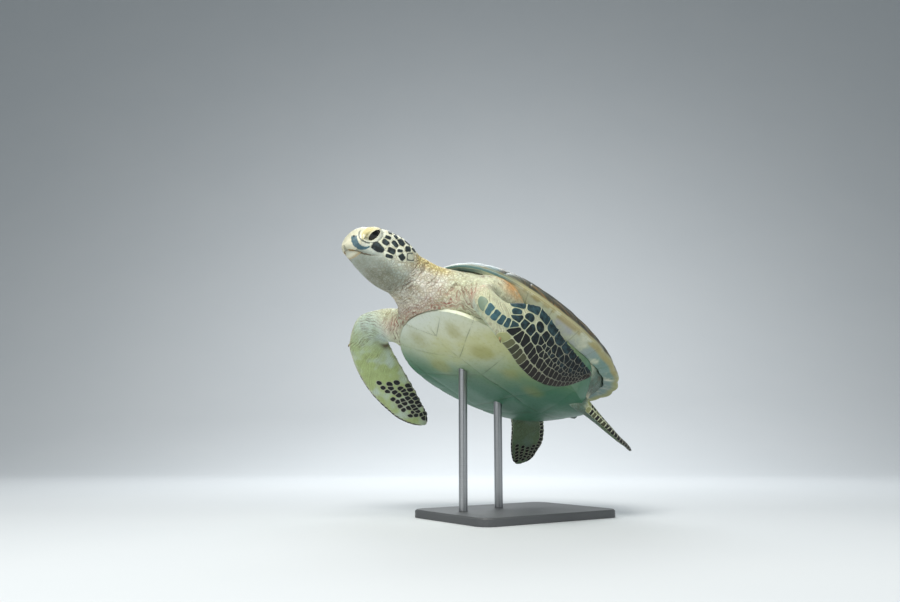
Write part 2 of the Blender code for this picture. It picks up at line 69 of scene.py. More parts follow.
PLASTRON_DEPTH, PLASTRON_THICKNESS, PLASTRON_EDGE_RISE = 0.212, 0.012, 0.07
PLASTRON_ROUNDING, PLASTRON_EGG, PLASTRON_END_RISE = 0.9, 0.16, 0.26
FLANK_TOP_SHARE, FLANK_TOP_GAP = 0.006, 0.0015
BRIDGE_FRONT, BRIDGE_REAR, BRIDGE_BLEND, BRIDGE_PLATE = 52.0, 122.0, 12.0, 0.1075
SHOULDER_MIDDLE, SHOULDER_RADII = np.array((0.305, 0.24, -0.076)), np.array((0.13, 0.108, 0.092))
MM = 0.001 / UNIT
COAT_DEPTH = 0.7 * MM
FLESH_CLEARANCE = 4.0 * MM

# all in thousandths: forward, middle height, half width, half height, squareness
NECK = np.array((
    (240, -58, 235, 98, 2300), (320, -62, 270, 110, 2300), (385, -62, 258, 108, 2300),
    (435, -58, 205, 100, 2200), (485, -55, 142, 95, 2100), (540, -49, 104, 96, 2000),
    (600, -46, 86, 84, 2000))) / 1000.0
# forward, top, bottom, half width, squareness
HEAD = np.array((
    (562, 40, -132, 90, 2100), (590, 48, -137, 98, 2200), (625, 52, -139, 103, 2300),
    (665, 52, -136, 103, 2400), (705, 47, -130, 98, 2400), (745, 36, -122, 89, 2400),
    (775, 24, -117, 77, 2300), (798, 7, -113, 67, 2200), (814, -10, -109, 52, 2100),
    (825, -27, -104, 37, 2000), (830, -42, -98, 24, 2000))) / 1000.0
TAIL = np.array((
    (-260, -95, 120, 55, 2200), (-330, -100, 100, 50, 2200), (-372, -106, 60, 38, 2000),
    (-402, -112, 32, 26, 2000), (-428, -117, 17, 16, 2000), (-438, -119, 6, 6, 2000))) / 1000.0
# stations in thousandths: trailing edge (forward, left, up), leading edge (forward, left, up), thickness
FLIPPERS = {
    "front_left": (
        (200, 170, -150, 300, 170, -30, 130), (285, 270, -145, 385, 275, -60, 115),
        (365, 355, -130, 445, 345, -185, 90), (340, 385, -140, 410, 380, -240, 70),
        (295, 405, -115, 350, 385, -270, 55), (225, 420, -90, 275, 385, -290, 45),
        (155, 420, -105, 205, 380, -315, 35), (95, 420, -130, 140, 380, -325, 30),
        (35, 420, -150, 65, 380, -310, 25), (-20, 410, -155, -10, 380, -270, 20),
        (-70, 400, -160, -70, 385, -215, 15), (-110, 390, -160, -110, 390, -175, 8)),
    "front_right": (
        (200, -160, -130, 290, -170, 0, 130), (290, -250, -145, 370, -260, -10, 115),
        (345, -320, -145, 445, -350, -30, 90), (350, -360, -135, 490, -425, -80, 70),
        (325, -385, -130, 455, -495, -160, 55), (270, -395, -155, 395, -525, -210, 45),
        (210, -405, -180, 320, -535, -260, 35), (150, -410, -210, 240, -530, -300, 30),
        (100, -410, -240, 160, -510, -330, 25), (55, -410, -270, 100, -480, -350, 20),
        (20, -410, -295, 40, -445, -350, 15), (0, -415, -330, 10, -425, -340, 8)),
    "hind_left": (
        (-160, 80, -100, -170, 185, -155, 90), (-235, 115, -110, -225, 225, -195, 80),
        (-310, 145, -135, -265, 250, -215, 55), (-375, 160, -160, -315, 270, -235, 40),
        (-435, 165, -180, -370, 290, -255, 30), (-490, 175, -190, -430, 290, -265, 22),
        (-530, 190, -200, -480, 280, -262, 17), (-550, 210, -218, -520, 260, -255, 13),
        (-555, 230, -232, -545, 240, -244, 8)),
    "hind_right": (
        (-230, -100, -60, -150, -140, -125, 95), (-310, -150, -75, -210, -210, -140, 80),
        (-380, -185, -80, -275, -250, -150, 60), (-430, -205, -105, -320, -270, -180, 42),
        (-460, -210, -145, -345, -280, -225, 32), (-470, -215, -190, -360, -285, -260, 26),
        (-460, -220, -240, -370, -275, -300, 21), (-445, -225, -285, -380, -265, -325, 16),
        (-420, -235, -320, -390, -250, -340, 8)),
}
# which face is the upper, dark one: 1 or -1 along the blade's own normal
UPPER_FACE = {"front_left": -1.0, "front_right": 1.0, "hind_left": -1.0, "hind_right": 1.0}
LEADING_EDGE_FULLNESS = 0.35
THINNEST_LIMB = 0.006

# middle of the left eye, and the directions back along its lids, up across them and out of the head
EYE_MIDDLE = np.array((0.78, 0.074, -0.036))
EYE_BACK, EYE_UP, EYE_OUT = np.array(((-0.769, 0.527, 0.362), (0.566, 0.298, 0.769), (0.298, 0.796, -0.527)))
# ovals on that plane: middle back and up, half length, half width in millimetres, tilt in degrees
LID_OVAL = (0.0, 0.0, 23.7, 16.2, 4.0)
SLIT_OVAL = (5.1, -1.5, 13.2, 5.5, 43.0)
# eyeball in millimetres: radius of its front, how far it stands out, half length and half width
BALL_ROUNDING, BALL_STAND, BALL_REACH, BALL_ACROSS = 21.0, 2.2, 15.5, 8.4
# mouth's corner (forward, up), and the slopes of the line ahead of it and of the crease behind it
MOUTH_CORNER = np.array((0.745, -0.1025))
MOUTH_SLOPE, CREASE_SLOPE = -0.113, -0.45
BEAK_POINT = 0.0015
SKIN_VOXEL = 0.0025
# stands for a distance too great to matter
AWAY = 9.0


# ---- arithmetic on arrays
def turn(axis, degrees):
    """Turn matrix about the world's X or Y axis."""
    c, s = np.cos(radians(degrees)), np.sin(radians(degrees))
    return np.array(((1, 0, 0), (0, c, -s), (0, s, c)) if axis == "X" else ((c, 0, s), (0, 1, 0), (-s, 0, c)))


TO_WORLD = turn("X", -NOSE_UP) @ turn("Y", -LEFT_SIDE_UP) @ np.array(((0.0, 1, 0), (-1, 0, 0), (0, 0, 1)))


def world(points):
    """Level shell units to metres on the stand: turn, scale and lift."""
    return points @ TO_WORLD.T * UNIT + LIFT


def level(points):
    """Metres on the stand back to level shell units."""
    return (points - LIFT) / UNIT @ TO_WORLD


def ramp(x, low, high):
    """0 below low, 1 above high, with a cubic rise between."""
    k = np.clip((x - low) / (high - low), 0, 1)
    return k * k * (3.0 - 2.0 * k)


def bump(x, centre, width):
    """Bell of height 1: e to the power of minus the squared distance over the width squared."""
    return np.exp(-((x - centre) / width) ** 2)


def power(value, exponent):
    """Odd power: keeps the sign of the value."""
    return np.sign(value) * np.abs(value) ** exponent


def unit(v):
    """Vectors at length 1."""
    return v / np.maximum(np.linalg.norm(v, axis=-1, keepdims=True), 1e-12)


def turns(count):
    """Angles at even steps once round."""
    return np.arange(count) * 2.0 * pi / count



CELL_PRIMES, SEED_PRIME, MIXING_PRIME = np.array((374761393, 668265263, 1440662683)), 974634777, 1274126177


def noise(points, size, seed=0):
    """Value noise from -1 to 1: cells of a given size get mixed-bit values, blended smoothly."""
    p = np.asarray(points) / size + 1000.0
    cell = np.floor(p).astype(np.int64)
    f = p - cell
    f = f * f * (3.0 - 2.0 * f)
    total = 0.0
    for corner in range(8):
        step = np.array((corner & 1, corner >> 1 & 1, corner >> 2 & 1))
        q = cell + step
        h = (q @ CELL_PRIMES + seed * SEED_PRIME) & 0xFFFFFFFF
        h = ((h ^ (h >> 13)) * MIXING_PRIME) & 0xFFFFFFFF
        h = (h ^ (h >> 16)) & 0xFFFF
        weight = np.prod(np.where(step, f, 1 - f), axis=-1)
        total = total + weight * (h / 32767.5 - 1.0)
    return total


def curve_through(table, at, key=0):
    """Rows of a table read at any value of its key column, along cubic pieces with even slopes."""
    table = np.asarray(table, float)
    x = table[:, key]
    if x[0] > x[-1]:
        table, x = table[::-1], x[::-1]
    slope = np.gradient(table, x, axis=0)
    at = np.clip(at, x[0], x[-1])
    low = np.clip(np.searchsorted(x, at, side="right") - 1, 0, len(x) - 2)
    span = (x[low + 1] - x[low])[..., None]
    t = (at - x[low])[..., None] / span
    start = 2 * t ** 3 - 3 * t ** 2 + 1
    rise = t ** 3 - 2 * t ** 2 + t
    fall = t ** 3 - t ** 2
    return (start * table[low] + rise * span * slope[low] + (1 - start) * table[low + 1]
            + fall * span * slope[low + 1])


# ---- meshes
def ring_faces(rows, points, first_cap=False, last_cap=False):
    """Quads between closed rings, and a fan of triangles round an added pole point at either end."""
    row, k = np.meshgrid(np.arange(rows - 1), np.arange(points), indexing="ij")
    a = (row * points + k).ravel()
    b = (row * points + (k + 1) % points).ravel()
    quads = np.stack((a, b, b + points, a + points), -1)
    k = np.arange(points)
    after = (k + 1) % points
    fans = []
    pole = rows * points
    if first_cap:
        fans.append(np.stack((after, k, np.full(points, pole)), -1))
        pole += 1
    if last_cap:
        last = (rows - 1) * points
        fans.append(np.stack((last + k, last + after, np.full(points, pole)), -1))
    return [quads] + fans


def capped(grid):
    """Points and faces of closed rings, with a pole point in the middle of either end."""
    poles = (grid[0].mean(0)[None], grid[-1].mean(0)[None])
    return np.concatenate((grid.reshape(-1, 3), *poles)), ring_faces(len(grid), grid.shape[1], True, True)


def sheet_faces(rows, points):
    """Quads of an open grid."""
    row, k = np.meshgrid(np.arange(rows - 1), np.arange(points - 1), indexing="ij")
    a = (row * points + k).ravel()
    return [np.stack((a, a + 1, a + points + 1, a + points), -1)]


def fill_mesh(data, points, faces):
    """Put point and face arrays into a mesh; faces is a list of arrays of quads or triangles."""
    counts = np.concatenate([np.full(len(f), f.shape[1]) for f in faces])
    corners = np.concatenate([f.ravel() for f in faces])
    data.vertices.add(len(points))
    data.vertices.foreach_set("co", np.ascontiguousarray(points, dtype=np.float32).ravel())
    data.loops.add(len(corners))
    data.loops.foreach_set("vertex_index", corners.astype(np.int32))
    data.polygons.add(len(counts))
    data.polygons.foreach_set("loop_start", np.concatenate(((0,), np.cumsum(counts)[:-1])).astype(np.int32))
    data.update(calc_edges=True)
    data.validate()


def piece(name, points, faces, look=None, notes=None, posed=True, flip=False):
    """One object at the origin, with per-point notes (numbers or triples) for its material to read."""
    data = bpy.data.meshes.new(name)
    if flip:
        faces = [f[:, ::-1] for f in faces]
    fill_mesh(data, world(points) if posed else points, faces)
    for key, value in (notes or {}).items():
        value = np.asarray(value, dtype=np.float32)
        kind, field = ("FLOAT", "value") if value.ndim == 1 else ("FLOAT_VECTOR", "vector")
        data.attributes.new(key, kind, "POINT").data.foreach_set(field, value.ravel())
    data.shade_smooth()
    obj = bpy.data.objects.new(name, data)
    bpy.context.scene.collection.objects.link(obj)
    if look is not None:
        data.materials.append(look)
    return obj


def volume_sign(points, faces):
    """Signed volume of a closed mesh, to tell whether its faces point out."""
    total = 0.0
    for f in faces:
        for k in range(1, f.shape[1] - 1):
            a, b, c = points[f[:, 0]], points[f[:, k]], points[f[:, k + 1]]
            total += np.einsum("ij,ij->i", a, np.cross(b, c)).sum()
    return total


def closed_piece(name, points, faces, look=None, notes=None):
    """A closed piece whose faces are turned outwards."""
    return piece(name, points, faces, look, notes, flip=volume_sign(world(points), faces) < 0.0)


def read_list(items, key, kind, width=1):
    """One property of a mesh's points, faces or corners as an array."""
    out = np.empty(len(items) * width, dtype=kind)
    items.foreach_get(key, out)
    return out


# ---- forms of the shell, as in the solids
def rim(th):
    """Edge of the carapace at angles round the shell: a rounded egg with a toothed rear."""
    c, s = np.cos(th), np.sin(th)
    reach = np.where(c > 0.0, RIM_FRONT, RIM_REAR)
    saw = 1.0 + SERRATION * ramp(-c, -0.35, 0.5) * (np.abs(np.cos(MARGINALS_PER_SIDE * th)) - 0.5)
    forward = reach * power(c, np.where(c > 0.0, RIM_FRONT_ROUNDING, 1.0)) * saw
    left = RIM_HALF_WIDTH * power(s, RIM_SIDE_ROUNDING) * (1.0 + RIM_EGG * c) * saw
    return np.stack((forward, left, RIM_FRONT_RISE * np.maximum(c, 0.0) ** 2 - RIM_SIDE_DROP * s ** 2), -1)


def dome(u, th, sink=0.0):
    """Top of the carapace from the crown (u 0) to the rim (u 1): flat on top, steeper outwards, sunk."""
    edge = rim(th)
    u = u + 0.0 * th
    point = np.array((DOME_CENTRE, 0.0, 0.0)) * (1 - u)[..., None] + edge * u[..., None]
    height = DOME_HEIGHT * (1 - DOME_FRONT_FALL * np.maximum(np.cos(th), 0.0) * u * u)
    swell = np.maximum(1 - u ** DOME_ROUNDING, 0.0) ** DOME_FULLNESS
    point[..., 2] = edge[..., 2] * u * u + height * swell - sink
    return point


def lip(th, share=LIP_SHARE):
    """Underside of the marginals: the rim drawn in by a share, dropping towards the flanks."""
    edge = rim(th)
    share = np.asarray(share)
    point = edge * share[..., None]
    drop = LIP_DROP * np.sin(th) ** 2 * (1 - share) / (1 - LIP_SHARE)
    point[..., 2] = edge[..., 2] - RIM_THICKNESS - drop
    return point


def lip_reach(th):
    """How far in the marginals' underside runs, as a share of the rim: less deep over the neck."""
    return LIP_SHARE + 0.075 * ramp(np.cos(th), 0.3, 0.75)


def marginal_phase(th):
    """Number of marginals from the front, on either side; whole numbers are seams."""
    return np.abs(np.degrees(np.arccos(np.cos(th)))) / 180.0 * MARGINALS_PER_SIDE


def marginal_gap(th):
    """Distance to the nearest seam between marginals, with a marginal's mean width."""
    phase = marginal_phase(th)
    return np.abs(phase - np.round(phase)) * MARGINAL_WIDTH


def plastron_edge(th):
    """Outline of the plastron where it turns up into the flanks: an egg, broad in front, its ends lifted."""
    c, s = np.cos(th), np.sin(th)
    left = PLASTRON_HALF_WIDTH * power(s, PLASTRON_ROUNDING) * (1.0 + PLASTRON_EGG * c)
    up = -PLASTRON_DEPTH * (0.95 - PLASTRON_END_RISE * c ** 4)
    return np.stack((PLASTRON_MIDDLE + PLASTRON_HALF_LENGTH * c, left, up), -1)


def pulled_in(point, depth):
    """Points moved level towards the long axis of the body by a depth."""
    flat = point * np.array((1.0, 1.0, 0.0))
    return point - unit(flat) * depth


def side(th, s, depth):
    """Flank: straight from the lip (s 0) down to the plastron's edge (s 1), set in by a depth."""
    edge = rim(th)
    high = edge * (LIP_SHARE + FLANK_TOP_SHARE)
    high[..., 2] = edge[..., 2] - RIM_THICKNESS - LIP_DROP * np.sin(th) ** 2 - FLANK_TOP_GAP
    high = pulled_in(high, depth)
    low = pulled_in(plastron_edge(th), depth) + np.array((0.0, 0.0, depth))
    s = np.asarray(s, float)[..., None]
    return high * (1 - s) + low * s


def belly(th, r, depth):
    """Face of the plastron from edge (r 1) to middle (r 0): flat, turning up with the fourth power."""
    edge = plastron_edge(th)
    r = r + 0.0 * th
    point = pulled_in(edge, depth) * r[..., None]
    point[..., 2] = -PLASTRON_DEPTH + depth + (edge[..., 2] + PLASTRON_DEPTH) * r ** 4
    return point


def bridge_share(th):
    """Share of the flank that the plastron climbs: all of it at the bridge, little elsewhere."""
    degrees = np.degrees(np.arccos(np.cos(th)))
    rise = ramp(degrees, BRIDGE_FRONT - BRIDGE_BLEND, BRIDGE_FRONT + BRIDGE_BLEND)
    fall = ramp(degrees, BRIDGE_REAR - BRIDGE_BLEND, BRIDGE_REAR + BRIDGE_BLEND)
    return PLASTRON_EDGE_RISE + (1 - PLASTRON_EDGE_RISE) * rise * (1 - fall)


# ---- forms of the flesh
def section_ring(forward, middle, half_width, half_height, square, angle):
    """Rounded section square to the body: a superellipse of the given squareness."""
    left = half_width * power(np.cos(angle), 2.0 / square)
    up = middle + half_height * power(np.sin(angle), 2.0 / square)
    return np.stack(np.broadcast_arrays(forward, left, up), -1)


def head_section(forward):
    """Middle height, half width, half height and squareness of the head at any distance forward."""
    _, top, bottom, half_width, square = np.moveaxis(curve_through(HEAD, forward), -1, 0)
    return (top + bottom) / 2.0, half_width, (top - bottom) / 2.0, square


def head_point(forward, angle):
    """Surface of the head: ring angle 0 at its left, a quarter turn on top."""
    return section_ring(forward, *head_section(forward), angle)


def surface_normal(surface, a, b, step=1e-4):
    """Unit normal of a surface of two parameters, from the cross product of its two slopes."""
    da = surface(a + step, b) - surface(a - step, b)
    db = surface(a, b + step) - surface(a, b - step)
    return unit(np.cross(da, db))


def fullness(across):
    """How much thicker than an ellipse a blade's section is, from trailing (-1) to leading edge (1)."""
    return 1.0 + LEADING_EDGE_FULLNESS * across


def arc_table():
    """For sections of each flatness: the angle at even shares of one face's length, and that length."""
    angle = np.linspace(pi, 0.0, 721)
    table, lengths = [], []
    for flat in ARC_FLATNESS:
        deep = np.sin(angle) * fullness(np.cos(angle)) * flat
        gone = np.concatenate(((0.0,), np.cumsum(np.hypot(np.diff(np.cos(angle)), np.diff(deep)))))
        lengths.append(gone[-1])
        table.append(np.interp(np.linspace(0.0, gone[-1], 401), gone, angle))
    return np.array(table), np.array(lengths)


ARC_FLATNESS = np.linspace(0.02, 1.6, 60)
ARC_TABLE, ARC_LENGTH = arc_table()


class Blade:
    """A flipper: rings of an aerofoil section, thick at the leading edge, swept between its two edges."""

    def __init__(self, name):
        table = np.array(FLIPPERS[name]) / 1000.0
        stations = np.concatenate(((table[:, :3] + table[:, 3:6]) / 2.0, table), axis=1)
        gone = np.cumsum(np.linalg.norm(np.diff(stations[:, :3], axis=0), axis=1))
        self.length = gone[-1]
        self.at = np.linspace(0.0, self.length, 240)
        gone = np.concatenate(((0.0,), gone))[:, None]
        rows = curve_through(np.concatenate((gone, stations), axis=1), self.at)
        self.centre = rows[:, 1:4]
        self.half_chord = (rows[:, 7:10] - rows[:, 4:7]) / 2.0
        self.normal = unit(np.cross(np.gradient(self.centre, axis=0), self.half_chord)) * UPPER_FACE[name]
        self.half_depth = np.maximum(rows[:, 10], THINNEST_LIMB) / 2.0
        self.flatness = self.half_depth / np.linalg.norm(self.half_chord, axis=1)
        self.name = name

    def read(self, values, s):
        """Station values at any distance along the blade."""
        s = np.clip(s, 0.0, self.length)
        if values.ndim == 1:
            return np.interp(s, self.at, values)
        return np.stack([np.interp(s, self.at, values[:, k]) for k in range(values.shape[1])], -1)

    def half_width(self, s):
        """Half the width of the blade."""
        return self.read(np.linalg.norm(self.half_chord, axis=1), s)

    def section_angle(self, s, q):
        """Angle round the section at a place q: 0 mid face, 1 the leading edge, beyond it the other face.

        Arc length of the half section, divided into its own total, is tabled against flatness and read back.
        """
        folded = np.where(q > 1.0, 2.0 - q, np.where(q < -1.0, -2.0 - q, q))
        row = (self.read(self.flatness, s) - ARC_FLATNESS[0]) / (ARC_FLATNESS[1] - ARC_FLATNESS[0])
        row = np.clip(row, 0, len(ARC_FLATNESS) - 1.001)
        column = (folded + 1.0) / 2.0 * (ARC_TABLE.shape[1] - 1.001)
        i, j = row.astype(int), column.astype(int)
        f, g = row - i, column - j
        low = ARC_TABLE[i, j] * (1 - g) + ARC_TABLE[i, j + 1] * g
        high = ARC_TABLE[i + 1, j] * (1 - g) + ARC_TABLE[i + 1, j + 1] * g
        return (low * (1 - f) + high * f) * np.where(np.abs(q) > 1.0, -1.0, 1.0)

    def arc_width(self, s):
        """Half the way round one face from edge to edge."""
        return np.interp(self.read(self.flatness, s), ARC_FLATNESS, ARC_LENGTH) * self.half_width(s) / 2.0

    def surface(self, s, q, face):
        """Point at a distance along and a place round the section, from the upper or the under face."""
        angle = self.section_angle(s, q)
        return self.at_angle(s, np.cos(angle), np.sin(angle) * fullness(np.cos(angle)) * face)

    def lifted(self, s, q, face, lift):
        """The same point raised square to the surface."""
        here = self.surface(s, q, face)
        out = surface_normal(lambda a, b: self.surface(a, b, face), s, q, 2e-3)
        angle = self.section_angle(s, q)
        away = (self.read(self.half_chord, s) * np.cos(angle)[..., None] * 0.1
                + self.read(self.normal, s) * (np.sin(angle) * face)[..., None])
        return here + out * (np.sign(np.einsum("...k,...k->...", out, away)) * lift)[..., None]

    def at_angle(self, s, across, deep):
        """Point of the section, its half axes drawn in by the coat's depth."""
        chord = self.read(self.half_chord, s)
        chord = chord * (1 - COAT_DEPTH / np.linalg.norm(chord, axis=-1, keepdims=True))
        depth = deep * (self.read(self.half_depth, s) - COAT_DEPTH)
        middle = self.read(self.centre, s) + chord * across[..., None]
        return middle + self.read(self.normal, s) * depth[..., None]

    def point(self, s, across, face):
        """Point at a distance along, across from -1 (trailing) to 1, on the upper (1) or under (-1) face."""
        across = np.clip(across, -1.0, 1.0)
        return self.at_angle(s, across, np.sqrt(1 - across ** 2) * fullness(across) * face)

    def loft(self, rings, points):
        """Closed rings along the blade with a pole point at each end."""
        s = np.linspace(0.0, self.length, rings)[:, None] * np.ones(points)
        angle = turns(points) * np.ones((rings, 1))
        return capped(self.point(s, np.cos(angle), np.where(np.sin(angle) >= 0.0, 1.0, -1.0)))

    def place_of(self, points):
        """Nearest place on the blade of each point: along, across, side of its middle, distance off."""
        out = np.zeros((len(points), 4))
        out[:, 3] = AWAY
        low = np.minimum(self.centre - np.abs(self.half_chord), self.centre).min(0) - 0.05
        high = np.maximum(self.centre + np.abs(self.half_chord), self.centre).max(0) + 0.05
        near = np.nonzero(np.all((points > low) & (points < high), axis=1))[0]
        for part in np.array_split(near, max(1, len(near) // 4000)):
            gap = points[part][:, None] - self.centre
            square = np.einsum("kj,kj->k", self.half_chord, self.half_chord)
            across = np.clip(np.einsum("nkj,kj->nk", gap, self.half_chord) / square, -1.0, 1.0)
            off = np.linalg.norm(gap - across[..., None] * self.half_chord, axis=-1)
            best = off.argmin(1)
            rows = np.arange(len(part))
            side_of = np.einsum("nj,nj->n", gap[rows, best], self.normal[best])
            out[part] = np.stack((self.at[best], across[rows, best], side_of, off[rows, best]), -1)
        return out


BLADES = {name: Blade(name) for name in FLIPPERS}


def tube_through(table, rings, points):
    """Closed rings of rounded sections along the body, with a pole point at each end."""
    forward = np.linspace(table[0, 0], table[-1, 0], rings)
    sections = head_section(forward) if table is HEAD else curve_through(table, forward)[:, 1:].T
    middle, half_width, half_height, square = [values[:, None] for values in sections]
    return capped(section_ring(forward[:, None] * np.ones(points), middle, half_width - COAT_DEPTH,
                               half_height - COAT_DEPTH, square, turns(points)))


def trunk_loft():
    """Body inside the shell, drawn in to a waist where the shell hides it."""
    th = turns(96)
    depth, sink = PLASTRON_THICKNESS + FLESH_CLEARANCE, DOME_THICKNESS + FLESH_CLEARANCE
    rings = [dome(u, th, sink) for u in (0.2, 0.4, 0.6, 0.72)]
    rings += [pulled_in(dome(DOME_WALL_SHARE, th, sink), 0.012)]
    rings += [side(th, s, depth) for s in (0.0, 0.33, 0.66, 1.0)]
    rings += [belly(th, r, depth) for r in (0.92, 0.8, 0.6, 0.35)]
    grid = np.array(rings)
    waist = 1 - 0.62 * ramp(grid[..., 0], -0.17, -0.05) * (1 - ramp(grid[..., 0], 0.08, 0.22))
    grid[..., 1] *= waist
    grid[..., 2] = -0.06 + (grid[..., 2] + 0.06) * waist
    return capped(grid)


def collar(middle, reach):
    """Skin closing the shell's opening: a thick rim of flesh inside dome and lip, over an arc in degrees."""
    th = radians(middle) + np.radians(np.linspace(-reach, reach, 70))
    deep = DOME_THICKNESS + 2.0 * MM
    crown, high, edge = dome(0.45, th, deep), dome(0.76, th, deep), lip(th, lip_reach(th) - 0.008)
    edge[:, 2] += 1.0 * MM
    low = edge * (0.955, 0.955, 1.0) - (0.0, 0.0, 0.045)
    base = crown - (0.0, 0.0, 0.11)
    loop = (crown, high, edge, low, base, crown)
    t = np.linspace(0.0, 1.0, 7)[:-1, None, None]
    rings = np.concatenate([a * (1 - t) + b * t for a, b in zip(loop[:-1], loop[1:])])
    return capped(rings.transpose(1, 0, 2))


def shoulder(sign):
    """The swell of muscle between neck, arm and rim: a rounded mass of three radii."""
    polar, tau = np.linspace(0.05, pi - 0.05, 40)[:, None], turns(60)[None]
    wide, high = np.sin(polar), np.cos(polar) + 0.0 * tau
    ball = np.stack((wide * np.cos(tau), wide * np.sin(tau), high), -1)
    return capped(SHOULDER_MIDDLE * (1.0, sign, 1.0) + ball * SHOULDER_RADII)


def above_plastron(p):
    """Skin in front lifted clear of the plastron, so that the plate's own front edge shows over it."""
    gone = p[:, :2] - (PLASTRON_MIDDLE, 0.0)
    th = np.arctan2(gone[:, 1] / PLASTRON_HALF_WIDTH, gone[:, 0] / PLASTRON_HALF_LENGTH)
    edge = plastron_edge(th)[:, :2] - (PLASTRON_MIDDLE, 0.0)
    r = np.linalg.norm(gone, axis=1) / np.linalg.norm(edge, axis=1)
    floor = belly(th, np.minimum(r, 1.0), PLASTRON_THICKNESS)[:, 2] + 1.2 * MM
    floor -= 0.9 * np.maximum(r - 1.0, 0.0)
    share = ramp(p[:, 0], 0.1, 0.16) * (r < 1.12)
    return np.stack((p[:, 0], p[:, 1], p[:, 2] + np.maximum(floor - p[:, 2], 0.0) * share), -1)


def fuse(lofts):
    """Overlapping closed lofts made one closed skin by a voxel remesh: points in metres, and faces."""
    points, faces, base = [], [], 0
    for loft_points, loft_faces in lofts:
        placed = world(loft_points)
        order = -1 if volume_sign(placed, loft_faces) < 0.0 else 1
        points.append(placed)
        faces += [f[:, ::order] + base for f in loft_faces]
        base += len(placed)
    rough = piece("rough_skin", np.concatenate(points), faces, posed=False)
    remesh = rough.modifiers.new("fuse", "REMESH")
    remesh.mode = "VOXEL"
    remesh.voxel_size = SKIN_VOXEL
    return thin_inside(*read_worked(rough))


def thin_inside(points, faces):
    """Fewer and larger faces on the skin that lies shut in between shell and plastron."""
    p = level(points)
    hidden = np.hypot(p[:, 0] / 0.34, p[:, 1] / 0.31) < 1.0
    rough = piece("rough_skin", points, faces, posed=False)
    group = rough.vertex_groups.new(name="hidden")
    group.add(np.flatnonzero(hidden).tolist(), 1.0, "REPLACE")
    thin = rough.modifiers.new("thin", "DECIMATE")
    thin.ratio = 1 - 0.94 * float(hidden.mean())
    thin.vertex_group = "hidden"
    thin.vertex_group_factor = 1000.0
    return read_worked(rough)


def read_worked(rough):
    """Points and faces of an object as its modifiers leave it; the object goes."""
    done = rough.evaluated_get(bpy.context.evaluated_depsgraph_get())
    data = bpy.data.meshes.new_from_object(done)
    out = read_list(data.vertices, "co", np.float32, 3).reshape(-1, 3).astype(float)
    starts = read_list(data.polygons, "loop_start", np.int32)
    corners = read_list(data.loops, "vertex_index", np.int32)
    counts = np.diff(np.append(starts, len(corners)))
    quads = corners[starts[counts == 4][:, None] + np.arange(4)]
    triangles = corners[starts[counts == 3][:, None] + np.arange(3)]
    bpy.data.objects.remove(rough, do_unlink=True)
    return out, [f for f in (quads, triangles) if len(f)]


def edges_of(faces):
    """Pairs of neighbouring points, each once."""
    pairs = np.concatenate([np.stack((f, np.roll(f, -1, axis=1)), -1).reshape(-1, 2) for f in faces])
    pairs.sort(axis=1)
    return np.unique(pairs, axis=0)


def neighbour_mean(values, edges):
    """Mean of each point's neighbours."""
    count = len(values)
    degree = np.bincount(edges.ravel(), minlength=count)
    out = np.empty_like(values)
    for k in range(values.shape[1]):
        ahead, back = [np.bincount(edges[:, i], values[edges[:, 1 - i], k], count) for i in (0, 1)]
        out[:, k] = ahead + back
    return out / np.maximum(degree, 1)[:, None]


def relax(points, edges, weight, rounds):
    """Smooth a mesh: each round draws points towards their neighbours' mean and half as far back again."""
    for _ in range(rounds):
        points = points + (neighbour_mean(points, edges) - points) * weight * 0.6
        points = points - (neighbour_mean(points, edges) - points) * weight * 0.6 * 0.9
    return points


def point_normals(points, faces):
    """Area-weighted point normals."""
    total = np.zeros_like(points)
    for f in faces:
        n = np.cross(points[f[:, 2]] - points[f[:, 0]], points[f[:, -1]] - points[f[:, 1]])
        for k in range(f.shape[1]):
            for axis in range(3):
                total[:, axis] += np.bincount(f[:, k], n[:, axis], len(points))
    return unit(total)


# ---- colours
def paint(red, green, blue):
    """A colour given 0 to 255 as on a screen, made linear."""
    c = np.array((red, green, blue)) / 255.0
    return np.where(c <= 0.04045, c / 12.92, ((c + 0.055) / 1.055) ** 2.4)


CREAM = paint(222, 220, 200)
CHEEK = paint(218, 228, 220)
THROAT = paint(200, 198, 188)
NECK_PALE = paint(234, 234, 224)
NAPE = paint(240, 228, 160)
FOLD_PINK = paint(240, 222, 210)
SHOULDER = paint(216, 222, 194)
RUST = paint(216, 158, 88)
UNDER_GREEN = paint(180, 200, 138)
UNDER_LILAC = paint(194, 212, 206)
UNDER_PALE = paint(200, 220, 204)
BLADE_CREAM = paint(214, 218, 186)
TIP_GREY = paint(96, 102, 92)
# painted shade: grey for the down-facing skin under the head and neck
CHIN_SHADE = paint(128, 134, 116)
REAR_GREY = paint(112, 142, 130)
# dark green of the tail, the rear and the hind flippers' undersides: partly the skin's own grey-green, partly
# painted shade
TAIL_GREEN_AND_SHADE = paint(50, 88, 78)
# painted shadow for the pit at each front flipper's inner root
PIT_SHADE = paint(84, 66, 44)


def over(base, colour, share):
    """Lay a colour over another by a share at each point."""
    return base + (colour - base) * share[:, None]


# ---- eyes: plane, ovals and ball
def oval(shape, angle):
    """Points of a tilted oval: half axes times cosine and sine, turned by its tilt, moved to its middle."""
    back, up, long, short, tilt = shape
    a, b = long * np.cos(angle - radians(tilt)), short * np.sin(angle - radians(tilt))
    c, s = np.cos(radians(tilt)), np.sin(radians(tilt))
    return back + a * c - b * s, up + a * s + b * c


def oval_measure(shape, back, up):
    """0 in the middle of a tilted oval, 1 on its edge."""
    c, s = np.cos(radians(shape[4])), np.sin(radians(shape[4]))
    back, up = back - shape[0], up - shape[1]
    return np.hypot((back * c + up * s) / shape[2], (up * c - back * s) / shape[3])


